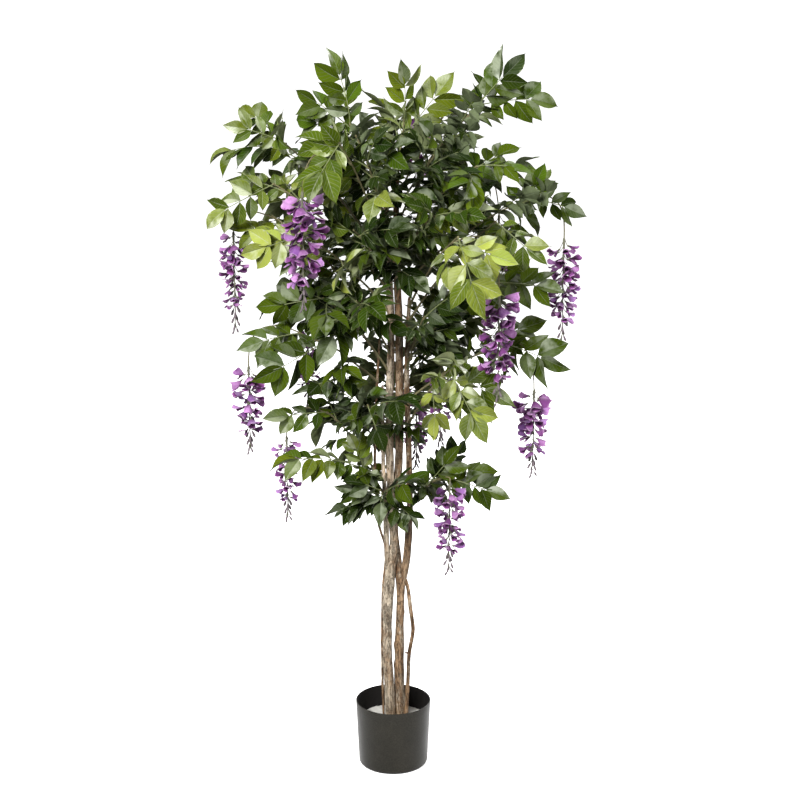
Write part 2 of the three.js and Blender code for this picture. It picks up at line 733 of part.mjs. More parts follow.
function potSolid() {
  const { wall, floor, corner, height, rim, base } = POT;
  return lathe([
    [0, 0], [base - corner, 0], [base - 0.3 * corner, 0.3 * corner], [potRadius(corner), corner],
    [rim, height], [rim - wall, height], [potRadius(corner) - wall, corner],
    [base - corner - wall, floor], [0, floor],
  ]);
}

function plugSolid() {
  const { wall, floor, corner, base } = POT;
  const bottom = floor + CLEARANCE;
  const inset = wall + CLEARANCE + 0.1;
  let plug = lathe([
    [0, bottom], [base - corner - inset, bottom], [potRadius(corner) - inset, corner + CLEARANCE],
    [potRadius(PLUG.top) - inset, PLUG.top], [0, PLUG.top + PLUG.crown],
  ]);
  for (const limbs of Object.values(STEMS)) {
    for (const limb of limbs.filter((points) => points[0][2] === PLUG.footing)) {
      plug = plug.subtract(limbSolid(limb, socket));
    }
  }
  return plug;
}

// ---- Putting the tree together ----------------------------------------------------------

const tree = new THREE.Group();
tree.add(meshOf('pot', potSolid(), COLOURS.pot));
tree.add(meshOf('pot_plug', plugSolid(), COLOURS.plug));

const stems = {};
for (const [name, limbs] of Object.entries(STEMS)) {
  limbs.forEach(claimLimb);
  stems[name] = limbs.map((limb) => limbSolid(limb, tube)).reduce((a, b) => a.add(b));
}

const twigs = SPRAYS.map(twigOf);
twigs.forEach((twig) => claim(twig.curve.getPoints(40).slice(2)));

const arms = SPRAYS.map((spray, i) => (spray.racemes ?? []).map((raceme) => armOf(twigs[i], raceme)));
arms.flat().forEach((arm) => claim(arm.points));
SPRAYS.forEach((spray) => (spray.racemes ?? []).forEach(claimRaceme));

const placed = SPRAYS.map((spray, i) => spray.fronds.map(([place, tip, lean]) => {
  const facing = new THREE.Vector3(0, -lean, 1 - lean);
  const frond = makeFrond(onTwig(twigs[i], place), vec(tip), facing, true);
  claim(frondRoom(frond));
  return frond;
}));

SPRAYS.forEach((spray, i) => {
  const twig = twigs[i];
  const fronds = [...placed[i], ...ruledFronds(spray, twig, seeded(i + 1))];
  let solid = tube(twig.points, twig.radii, TWIG_SIDES);
  arms[i].forEach((arm) => {
    solid = solid.add(tube(arm.points, arm.radii, TWIG_SIDES));
  });
  fronds.forEach((frond) => {
    solid = solid.add(frondSolid(frond));
  });
  tree.add(meshOf(`spray_${spray.name}`, solid, COLOURS[spray.shade]));
  stems[spray.stem] = stems[spray.stem].subtract(socket(twig.points, twig.radii, TWIG_SIDES));
  (spray.racemes ?? []).forEach((raceme, k) => {
    const bored = racemeSolid(raceme).subtract(socket(arms[i][k].points, arms[i][k].radii, TWIG_SIDES));
    tree.add(meshOf(`raceme_${spray.name}`, bored, COLOURS.violet));
  });
});

for (const [name, solid] of Object.entries(stems)) {
  tree.add(meshOf(name, solid, COLOURS.bark));
}

export default tree;
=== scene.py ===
import math

import bpy
import numpy as np
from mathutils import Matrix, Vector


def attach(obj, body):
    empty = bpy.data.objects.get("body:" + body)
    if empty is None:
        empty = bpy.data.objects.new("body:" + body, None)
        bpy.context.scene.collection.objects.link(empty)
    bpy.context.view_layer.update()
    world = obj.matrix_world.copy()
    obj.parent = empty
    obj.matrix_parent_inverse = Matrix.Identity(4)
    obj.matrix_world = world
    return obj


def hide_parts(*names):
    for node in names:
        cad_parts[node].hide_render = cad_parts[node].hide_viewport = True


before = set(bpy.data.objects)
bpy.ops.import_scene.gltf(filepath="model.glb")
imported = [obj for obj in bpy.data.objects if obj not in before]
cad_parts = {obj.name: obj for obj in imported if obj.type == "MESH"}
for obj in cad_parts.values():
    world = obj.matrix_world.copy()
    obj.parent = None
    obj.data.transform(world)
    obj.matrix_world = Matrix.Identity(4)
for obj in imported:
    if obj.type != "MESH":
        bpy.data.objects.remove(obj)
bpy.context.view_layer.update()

# ---- Camera -------------------------------------
# It stands 4.2 m in front of the pot, a little above the crown, and looks slightly
# down, so that the inside of the rim shows.

camera = bpy.data.objects.new("camera", bpy.data.cameras.new("camera"))
camera.data.lens = 79.5
camera.location = (0.0174, -4.2, 2.05)
camera.rotation_euler = (math.radians(75.5), 0, 0)
bpy.context.scene.collection.objects.link(camera)
bpy.context.scene.camera = camera


# ---- Pot ----------------------------------------
# A plain round pot, moulded in one piece from black plastic with a satin skin. Its
# wall is 3 mm thick and opens slightly towards a rounded rim.

# In millimetres. `flare` is what the taper adds at the round of the foot, `flat` a ring on
# the underside, and `flanks` are the heights of the rings on its straight sides.
POT = {
    "rim": 95.5, "base": 87.5, "height": 171, "wall": 3, "floor": 3.5, "corner": 9, "lip": 1.3,
    "flare": 0.4, "flat": 60, "flanks": (30, 70, 110, 150),
}


class Wire:
    """One socket of a material's nodes. Sums written with wires become Math nodes."""

    def __init__(self, finish, socket):
        self.finish, self.socket = finish, socket

    def maths(self, operation, first, second):
        return self.finish.node("Math", {"operation": operation}, {0: first, 1: second})

    def __add__(self, other):
        return self.maths("ADD", self, other)

    def __sub__(self, other):
        return self.maths("SUBTRACT", self, other)

    def __rsub__(self, other):
        return self.maths("SUBTRACT", other, self)

    def __mul__(self, other):
        return self.maths("MULTIPLY", self, other)

    def __abs__(self):
        return self.maths("ABSOLUTE", self, 0)

    __radd__, __rmul__ = __add__, __mul__


class Finish:
    """A material in the making: a shader and the nodes that feed it."""

    def __init__(self, name, **fixed):
        self.material = bpy.data.materials.new(name)
        self.material.use_nodes = True
        self.nodes = self.material.node_tree.nodes
        self.shader = self.nodes["Principled BSDF"]
        for socket, value in fixed.items():
            self.shader.inputs[socket.replace("_", " ")].default_value = value

    def node(self, kind, settings=None, sockets=None, out=0):
        """Adds a node, sets it, then fills its sockets with values or wires."""
        made = self.nodes.new("ShaderNode" + kind)
        for key, value in (settings or {}).items():
            setattr(made, key, value)
        for key, value in (sockets or {}).items():
            self.join(value, made.inputs[key])
        return Wire(self, made.outputs[out])

    def join(self, value, socket):
        if isinstance(value, Wire):
            self.material.node_tree.links.new(value.socket, socket)
        elif socket.type == "RGBA":
            socket.default_value = (*value, 1)
        else:
            socket.default_value = value

    def feed(self, **wires):
        for socket, wire in wires.items():
            self.join(wire, self.shader.inputs[socket.replace("_", " ")])

    def spot(self, upright=1):
        """The place in the tree's own frame, in metres, its height times `upright`."""
        place = self.node("TexCoord", out=3)
        return self.node("VectorMath", {"operation": "MULTIPLY"}, {0: place, 1: (1, 1, upright)})

    def noise(self, scale, upright=1, detail=3, rough=0.55):
        """Soft noise, drawn out along the height where `upright` is under 1."""
        sockets = {"Vector": self.spot(upright), "Scale": scale, "Detail": detail, "Roughness": rough}
        return self.node("TexNoise", {}, sockets)

    def fade(self, value, start, end):
        """0 where `value` is at `start`, 1 where it is at `end`, smooth in between."""
        sockets = {"Value": value, "From Min": start, "From Max": end}
        return self.node("MapRange", {"interpolation_type": "SMOOTHSTEP"}, sockets)

    def blend(self, share, first, second, kind="MIX"):
        settings = {"data_type": "RGBA", "blend_type": kind}
        return self.node("Mix", settings, {0: share, 6: first, 7: second}, out=2)

    def bump(self, height, depth):
        """Raises the surface by `height` times `depth` metres."""
        self.feed(Normal=self.node("Bump", {}, {"Height": height, "Strength": 1, "Distance": depth}))


class Shape:
    """The points and faces of one piece, gathered part by part, in millimetres."""

    def __init__(self):
        self.points, self.marks, self.faces, self.finishes = [], [], [], []
        self.count = 0

    def add(self, points, faces, finish=0, marks=None):
        """`faces` holds arrays of corner numbers, `marks` 4 numbers for each point, and
        `finish` is a place in the piece's list of finishes."""
        for block in faces:
            self.faces += (np.asarray(block) + self.count).tolist()
            self.finishes += [finish] * len(block)
        self.points.append(points)
        self.marks.append(np.zeros((len(points), 4)) if marks is None else marks)
        self.count += len(points)

    def piece(self, name, slot, finishes, *nodes):
        """Makes the piece, with its marks as the attributes `place` and `tint`."""
        mesh = bpy.data.meshes.new(name)
        mesh.from_pydata(np.concatenate(self.points) / 1000, [], self.faces)
        mesh.polygons.foreach_set("material_index", self.finishes)
        for finish in finishes:
            mesh.materials.append(finish.material)
        marks = np.concatenate(self.marks).astype(np.float32)
        place = mesh.attributes.new("place", "FLOAT_VECTOR", "POINT")
        place.data.foreach_set("vector", marks[:, :3].ravel())
        mesh.attributes.new("tint", "FLOAT", "POINT").data.foreach_set("value", marks[:, 3].copy())
        mesh.shade_smooth()
        mesh.set_sharp_from_angle(angle=math.radians(50))
        made = bpy.data.objects.new(name, mesh)
        bpy.context.scene.collection.objects.link(made)
        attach(made, "root")
        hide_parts(*nodes)


def rounded(corner, centre, start, end, steps=6):
    """Points [radius, height] on the round of a profile, between two angles."""
    angles = np.radians(np.linspace(start, end, steps))
    return [[centre[0] + corner * math.cos(a), centre[1] + corner * math.sin(a)] for a in angles]


def tube_faces(rings, sides):
    """Faces of a closed tube: rings of points, then the middle of its first and last end."""
    here = np.arange(sides)
    after = (here + 1) % sides
    start = np.arange(rings - 1)[:, None] * sides
    walls = np.stack([start + here, start + after, start + sides + after, start + sides + here], axis=2)
    last, middle = (rings - 1) * sides, np.full(sides, rings * sides)
    caps = [np.stack([middle, after, here], 1), np.stack([middle + 1, last + here, last + after], 1)]
    return [walls.reshape(-1, 4), *caps]


def turned(profile, segments, ripple=None):
    """A closed body turned from [radius, height] points that run from axis to axis."""
    inner = np.array(profile[1:-1], float)
    turn = np.linspace(0, 2 * math.pi, segments, endpoint=False)
    radius, angle = np.meshgrid(inner[:, 0], turn, indexing="ij")
    height = np.repeat(inner[:, 1:], segments, axis=1)
    rings = np.stack([radius * np.cos(angle), radius * np.sin(angle), height], axis=2)
    points = np.vstack([rings.reshape(-1, 3), [[0, 0, profile[0][1]], [0, 0, profile[-1][1]]]])
    if ripple is not None:
        points[:, 2] += ripple(points)
    return points, tube_faces(len(inner), segments)


def pot_radius(height):
    return POT["base"] + (POT["rim"] - POT["base"]) * height / POT["height"]


corner, wall, lip = POT["corner"], POT["wall"], POT["lip"]
outside = rounded(corner, (POT["base"] - corner + POT["flare"], corner), -90, 0)
rim = rounded(lip, (POT["rim"] - lip, POT["height"] - lip), 0, 90, 4)
rim += rounded(lip, (POT["rim"] - wall + lip, POT["height"] - lip), 90, 180, 4)
inside = rounded(corner - wall, (POT["base"] - corner, POT["floor"] + corner - wall), 0, -90)
profile = [[0, 0], [POT["flat"], 0], *outside, *[[pot_radius(z), z] for z in POT["flanks"]], *rim]
profile += [[pot_radius(z) - wall, z] for z in POT["flanks"][::-1]] + inside + [[0, POT["floor"]]]
pot = Shape()
pot.add(*turned(profile, segments=160))

satin = Finish("satin_black_plastic", Specular_IOR_Level=0.16)
scuffs = satin.fade(satin.noise(60, 0.5, 6, 0.7), 0.56, 0.78)
dust = satin.fade(satin.noise(16, detail=5), 0.4, 0.75)
grain = satin.noise(420)
matt = 0.35 * dust + 0.5 * satin.fade(grain, 0.4, 0.6)
skin = satin.blend(matt, (0.013, 0.0115, 0.008), (0.03, 0.0275, 0.021))
skin = satin.blend(scuffs * 0.2, skin, (0.07, 0.065, 0.054))
# Painted shade: the inside of the wall is painted much darker than the outside, and made rougher.
height = satin.node("SeparateXYZ", {}, {0: satin.spot()}, out=2)
across = satin.node("VectorMath", {"operation": "LENGTH"}, {0: satin.spot(0)}, out=1)
middle = (POT["base"] - 0.5 * wall) / 1000 + height * ((POT["rim"] - POT["base"]) / POT["height"])
inner = satin.fade(across - middle, 0.0002, -0.0002)
satin.feed(
    Base_Color=satin.blend(inner, skin, (0.006, 0.005, 0.0045)),
    Roughness=0.3 + 0.12 * dust + 0.12 * scuffs + 0.1 * grain + 0.4 * inner,
)
satin.bump(grain + 0.8 * satin.noise(70), 0.00012)
pot.piece("moulded_pot", "pot", [satin], "pot")


# ---- Plug ---------------------------------------
# Pale plaster, poured into the pot round the feet of the stems and left rough. It has
# sunk a little between them and climbs the bark where it touches.

# `climb` is how high the plaster climbs the bark, and `slope` how far out it does so.
PLUG = {"top": 116, "crown": 2.5, "gap": 0.5, "climb": 2.6, "slope": 3.5}
# Where the stems stand in it: x, y and radius.
FEET = [(-8, -6, 13.5), (18, 6, 12.5), (34, -9, 4.8), (-25, 3, 3.1)]


def plaster_relief(points):
    """Lumps and pits of the plaster's upper face, in millimetres."""
    x, y, z = points.T
    lumps = 0.9 * np.sin(x / 11 + 1.3 * np.sin(y / 17)) + 0.7 * np.sin(y / 8 - 1.1 * np.sin(x / 13))
    lumps += 0.35 * np.sin(x / 3.1 + y / 4.7) + 0.3 * np.sin(y / 2.7 - x / 5.3)
    beside = [np.maximum(0, np.hypot(x - foot[0], y - foot[1]) - foot[2]) for foot in FEET]
    climb = sum(PLUG["climb"] * np.exp(-away / PLUG["slope"]) for away in beside)
    return np.where(z > PLUG["top"] - 1, lumps + climb, 0)


plug_rim = pot_radius(PLUG["top"]) - wall - PLUG["gap"]
floor_gap = POT["floor"] + PLUG["gap"]
top, crown = PLUG["top"], PLUG["crown"]
profile = [
    [0, floor_gap], [POT["base"] - corner - wall, floor_gap], [pot_radius(corner) - wall - 0.6, corner + 1],
    [plug_rim - 0.1, top - 3], [plug_rim - 0.3, top - 0.6],
    *[[plug_rim * share, top + crown * (1 - share * share)] for share in np.linspace(0.985, 0.02, 44)],
    [0, top + crown],
]
plug = Shape()
plug.add(*turned(profile, segments=144, ripple=plaster_relief))

plaster = Finish("rough_plaster", Specular_IOR_Level=0.2)
cloud = plaster.noise(30, detail=6, rough=0.65)
pits = plaster.fade(plaster.noise(260), 0.62, 0.72)
stain = plaster.fade(plaster.noise(14, detail=4), 0.5, 0.75)
pale = plaster.blend(cloud, (0.55, 0.53, 0.48), (0.74, 0.73, 0.69))
pale = plaster.blend(stain * 0.45, pale, (0.4, 0.34, 0.26))
plaster.feed(Base_Color=plaster.blend(pits * 0.6, pale, (0.3, 0.28, 0.24)), Roughness=0.82 + 0.14 * cloud)
plaster.bump(cloud - 0.7 * pits + 0.2 * plaster.noise(700), 0.0012)
plug.piece("plaster_plug", "plug", [plaster], "pot_plug")


# ---- Stems --------------------------------------
# Real dried wood, dug in bundles of three: two stout stems that fork and a slender one
# beside them. The bark is half rubbed off, fluted, and knotted where shoots were cut.

# Points [x, y, z, radius] of each limb's middle, from its foot up.
STEMS = {
    "left": [
        [
            [-9, -6, 40, 13.5], [-8, -6, 135, 13.5], [-10, -6, 210, 12.4], [-14, -6, 300, 11.6],
            [-14, -6, 380, 11.6], [-12, -6, 470, 13.4], [-2, -4, 560, 12], [2, -3, 610, 10.2],
            [-7, -3, 770, 9.8], [-8, -4, 960, 9.5], [-4, -5, 1120, 9], [-9, -4, 1260, 8.5],
            [-15, -4, 1400, 7.5], [-16, -4, 1475, 5],
        ],
        [
            [-12, -7, 500, 8], [-16, -7, 583, 7.2], [-19, -7, 690, 6.4], [-24, -4, 800, 5],
            [-25, 4, 900, 4.2], [-26, 6, 1000, 3.4],
        ],
        [[-13, -7, 474, 6], [-27, -9, 487, 4]],
    ],
    "right": [
        [
            [18, 6, 40, 12.5], [18, 6, 135, 12.5], [15, 6, 240, 13], [15, 6, 300, 12.2],
            [17, 6, 400, 10], [18, 6, 480, 10.6], [10, 13, 560, 9], [5, 18, 620, 8.5],
            [6, 17, 680, 8.6], [15, 6, 830, 10.2], [16, 6, 960, 10.2], [15, 6, 1120, 9.6],
            [10, 5, 1280, 8.8], [8, 6, 1420, 7.5], [10, 8, 1510, 5],
        ],
        [
            [19, 5, 455, 8], [33, 1, 548, 9.4], [39, -1, 620, 8.8], [42, -2, 690, 7.7],
            [40, -2, 790, 7.4], [37, -1, 890, 7.3], [34, 0, 1010, 6.5], [36, 2, 1120, 5.5],
            [40, 4, 1220, 4],
        ],
        [
            [34, -9, 40, 5], [34, -9, 135, 4.8], [38, -9, 230, 4.8], [41, -9, 300, 5],
            [49, -8, 350, 4.8], [50, -7, 375, 4.8], [44, -5, 420, 4.8], [38, -2, 470, 4.6],
            [31, 1, 500, 4],
        ],
        [[40, -9, 299, 3], [30, -9, 304, 2]],
    ],
    "slender": [
        [
            [-25, 3, 40, 3.2], [-25, 3, 135, 3.1], [-28, 3, 250, 3], [-28, 3, 380, 3],
            [-26, 6, 470, 3], [-18, 11, 560, 3], [-22, 11, 590, 3], [-35, 8, 640, 3],
            [-42, 3, 733, 3.4], [-45, 1, 800, 3.4], [-41, 1, 960, 3.3], [-32, 4, 1120, 2.8],
        ],
    ],
}
# Knots of the bark: [height, turn round the limb in degrees, how far it stands out].
KNOTS = {
    "left": [
        [268, 250, 2.6], [352, 310, 2], [428, 200, 3], [452, 165, 2.6], [486, 300, 2.4], [566, 280, 2.4],
        [655, 190, 2], [742, 300, 1.8],
    ],
    "right": [
        [205, 290, 2], [262, 175, 2], [318, 200, 2.6], [408, 320, 2.4], [470, 300, 3], [498, 235, 2.4],
        [640, 280, 1.8], [765, 240, 2],
    ],
    "slender": [[210, 180, 1.2], [330, 200, 1], [470, 250, 1.2], [640, 170, 1.4]],
}


def eased(points, step):
    """The same route with its corners rounded, about one point for each `step` of length."""
    points = np.array(points, float)
    padded = np.vstack([2 * points[0] - points[1], points, 2 * points[-1] - points[-2]])
    route = []
    for i in range(1, len(padded) - 2):
        before, start, end, after = padded[i - 1:i + 3]
        span = np.linalg.norm(end[:3] - start[:3])
        for t in np.arange(0, 1, 1 / max(1, round(span / step))):
            out, back = 0.5 * (end - before), 0.5 * (after - start)
            bend = (2 * t**3 - 3 * t**2 + 1) * start + (t**3 - 2 * t**2 + t) * out
            route.append(bend + (3 * t**2 - 2 * t**3) * end + (t**3 - t**2) * back)
    return np.array([*route, points[-1]])


def unit(vector):
    return vector * (1 / math.sqrt(vector[0] * vector[0] + vector[1] * vector[1] + vector[2] * vector[2]))


def square(aim, axis):
    """The part of `aim` that stands square to `axis`."""
    return unit(aim - axis * float(aim[0] * axis[0] + aim[1] * axis[1] + aim[2] * axis[2]))


def rod(shape, points, radii, sides, finish=0, tint=0, relief=None):
    """A round closed rod along the points. `relief` gives its radius by turn and height."""
    points = np.asarray(points, float)[:, :3]
    along = np.gradient(points, axis=0)
    turn = 2 * math.pi * (np.arange(sides) + 0.5) / sides
    side = np.array([1.0, 0, 0] if abs(unit(along[0])[2]) > 0.8 else [0, 0, 1.0])
    rings = []
    for i, point in enumerate(points):
        axis = unit(along[i])
        side = square(side, axis)
        radius = relief(turn, point[2], radii[i]) if relief else radii[i]
        ring = np.outer(radius * np.cos(turn), side)
        rings.append(point + ring + np.outer(radius * np.sin(turn), np.cross(axis, side)))
    body = np.vstack([*rings, points[[0, -1]]])
    marks = np.zeros((len(body), 4))
    marks[:, 3] = tint
    shape.add(body, tube_faces(len(points), sides), finish, marks)


# How tall a knot is and how closely it keeps to its side of the limb.
KNOT_HEIGHT, KNOT_GRIP = 9, 2.2


def bark_relief(knots, seed):
    """How far the bark stands from the limb's middle: flutes, dents and knots."""

    def relief(turn, height, radius):
        drift = 0.9 * math.sin(height / 61 + seed) + 0.7 * math.sin(height / 23 + 2.1 * seed)
        flutes = 0.5 * np.sin(3 * turn + drift + seed) + 0.3 * np.sin(7 * turn + 2.1 * drift + height / 90)
        ridges = 0.2 * np.sin(13 * turn - 1.7 * drift + height / 37)
        ridges = ridges + 0.16 * np.sin(5 * turn + height / 9 + seed)
        dents = 0.35 * math.sin(height / 31 + 3 * seed) + 0.25 * math.sin(height / 12.5 + seed)
        raised = (flutes + ridges + dents) * radius / 11
        for level, angle, size in knots:
            nearness = KNOT_GRIP * (np.cos(turn - math.radians(angle)) - 1)
            raised = raised + size * np.exp(-(((height - level) / KNOT_HEIGHT) ** 2) + nearness)
        return radius + raised

    return relief


bark = Finish("dry_bark", Specular_IOR_Level=0.2)
streaks = 0.6 * bark.noise(62, 0.13, 5, 0.6) + 0.4 * bark.noise(210, 0.16, 5, 0.7)
own = bark.node("Attribute", {"attribute_name": "tint"}, out=2)
patches = bark.fade(bark.noise(24, 0.5, 4, 0.6) + 0.3 * own, 0.55, 0.75)
worn = bark.fade(bark.noise(46, 0.34, 5, 0.7), 0.5, 0.62)
cracks = bark.fade(abs(bark.noise(80, 0.2, 5, 0.7) - 0.5), 0.035, 0.0)
spots = bark.fade(bark.noise(150, 0.8, 4, 0.7), 0.57, 0.66)
rust = bark.fade(bark.noise(33, 0.5, 3, 0.6), 0.57, 0.7)
fibre = bark.fade(streaks, 0.36, 0.62)
tan = bark.blend(fibre, (0.15, 0.085, 0.042), (0.58, 0.4, 0.245))
grey = bark.blend(fibre, (0.25, 0.195, 0.135), (0.68, 0.575, 0.435))
wood = bark.blend(patches, tan, grey)
dull = bark.fade(bark.noise(13, 0.4, 3, 0.5) + 0.14 * own, 0.62, 0.46)
wood = bark.blend(dull, wood, bark.blend(1, wood, (0.66, 0.6, 0.54), "MULTIPLY"))
wood = bark.blend(worn * 0.6, wood, (0.82, 0.7, 0.53))
wood = bark.blend(rust * 0.5, wood, (0.3, 0.155, 0.07))
wood = bark.blend(cracks * 0.6, wood, (0.07, 0.045, 0.028))
bark.feed(Base_Color=bark.blend(spots * 0.7, wood, (0.09, 0.058, 0.036)), Roughness=0.72 + 0.2 * streaks)
bark.bump(streaks + 0.6 * worn - 0.8 * cracks - 0.6 * spots, 0.003)

# -1 is the dark bark of a thin shoot, 0 the brown of a young stem, 1 the grey of an old one.
BARK_OF = {"left": 0.7, "right": 0.15, "slender": -0.6, "shoot": -0.9}
# A limb with a radius over this is a stout one.
STOUT = 6.5
for seed, (name, limbs) in enumerate(STEMS.items()):
    stem = Shape()
    for number, limb in enumerate(limbs):
        stout = max(point[3] for point in limb) > STOUT
        step, sides = (5, 28) if stout else (6, 14)
        route = eased(limb, step)
        relief = bark_relief(KNOTS[name] if number == 0 else [], seed + 1.7 * number)
        radii = route[:, 3].copy()
        radii[-1] *= 0.7
        age = BARK_OF[name if stout or number == 0 else "shoot"]
        rod(stem, route, radii, sides, tint=age, relief=relief)
    stem.piece(f"wood_{name}", "bark", [bark], f"stem_{name}")


# ---- Growth of the crown ------------------------
# Sprays are pushed into holes drilled in the stems. A spray is a bowed twig with fronds
# along it, listed one by one at its outer end and placed by a rule wherever there is room.


class Spray:
    """A twig that leaves limb number `limb` of its stem at `height` and bows up to `tip`.

    Its outer `fronds` are [place on the twig 0..1, tip, lean], where lean 1 faces the blade
    to the front. `more`, `fill` and `heart` are how many grow by rule: whole ones, narrow
    ones between them, and short ones close to the stems. `racemes` are [place, top, length,
    radius]. A higher `tone` is a lighter green, and `leaf` is the size of the leaflets.
    """

    def __init__(
        self, stem, limb, height, tip, bow, shade, more,
        tone=0, leaf=1, fill=3, heart=4, fronds=(), racemes=(),
    ):
        self.stem, self.limb, self.height, self.tip, self.bow = stem, limb, height, tip, bow
        self.shade, self.tone, self.leaf = shade, tone, leaf
        self.more, self.fill, self.heart = more, fill, heart
        self.fronds, self.racemes = fronds, racemes


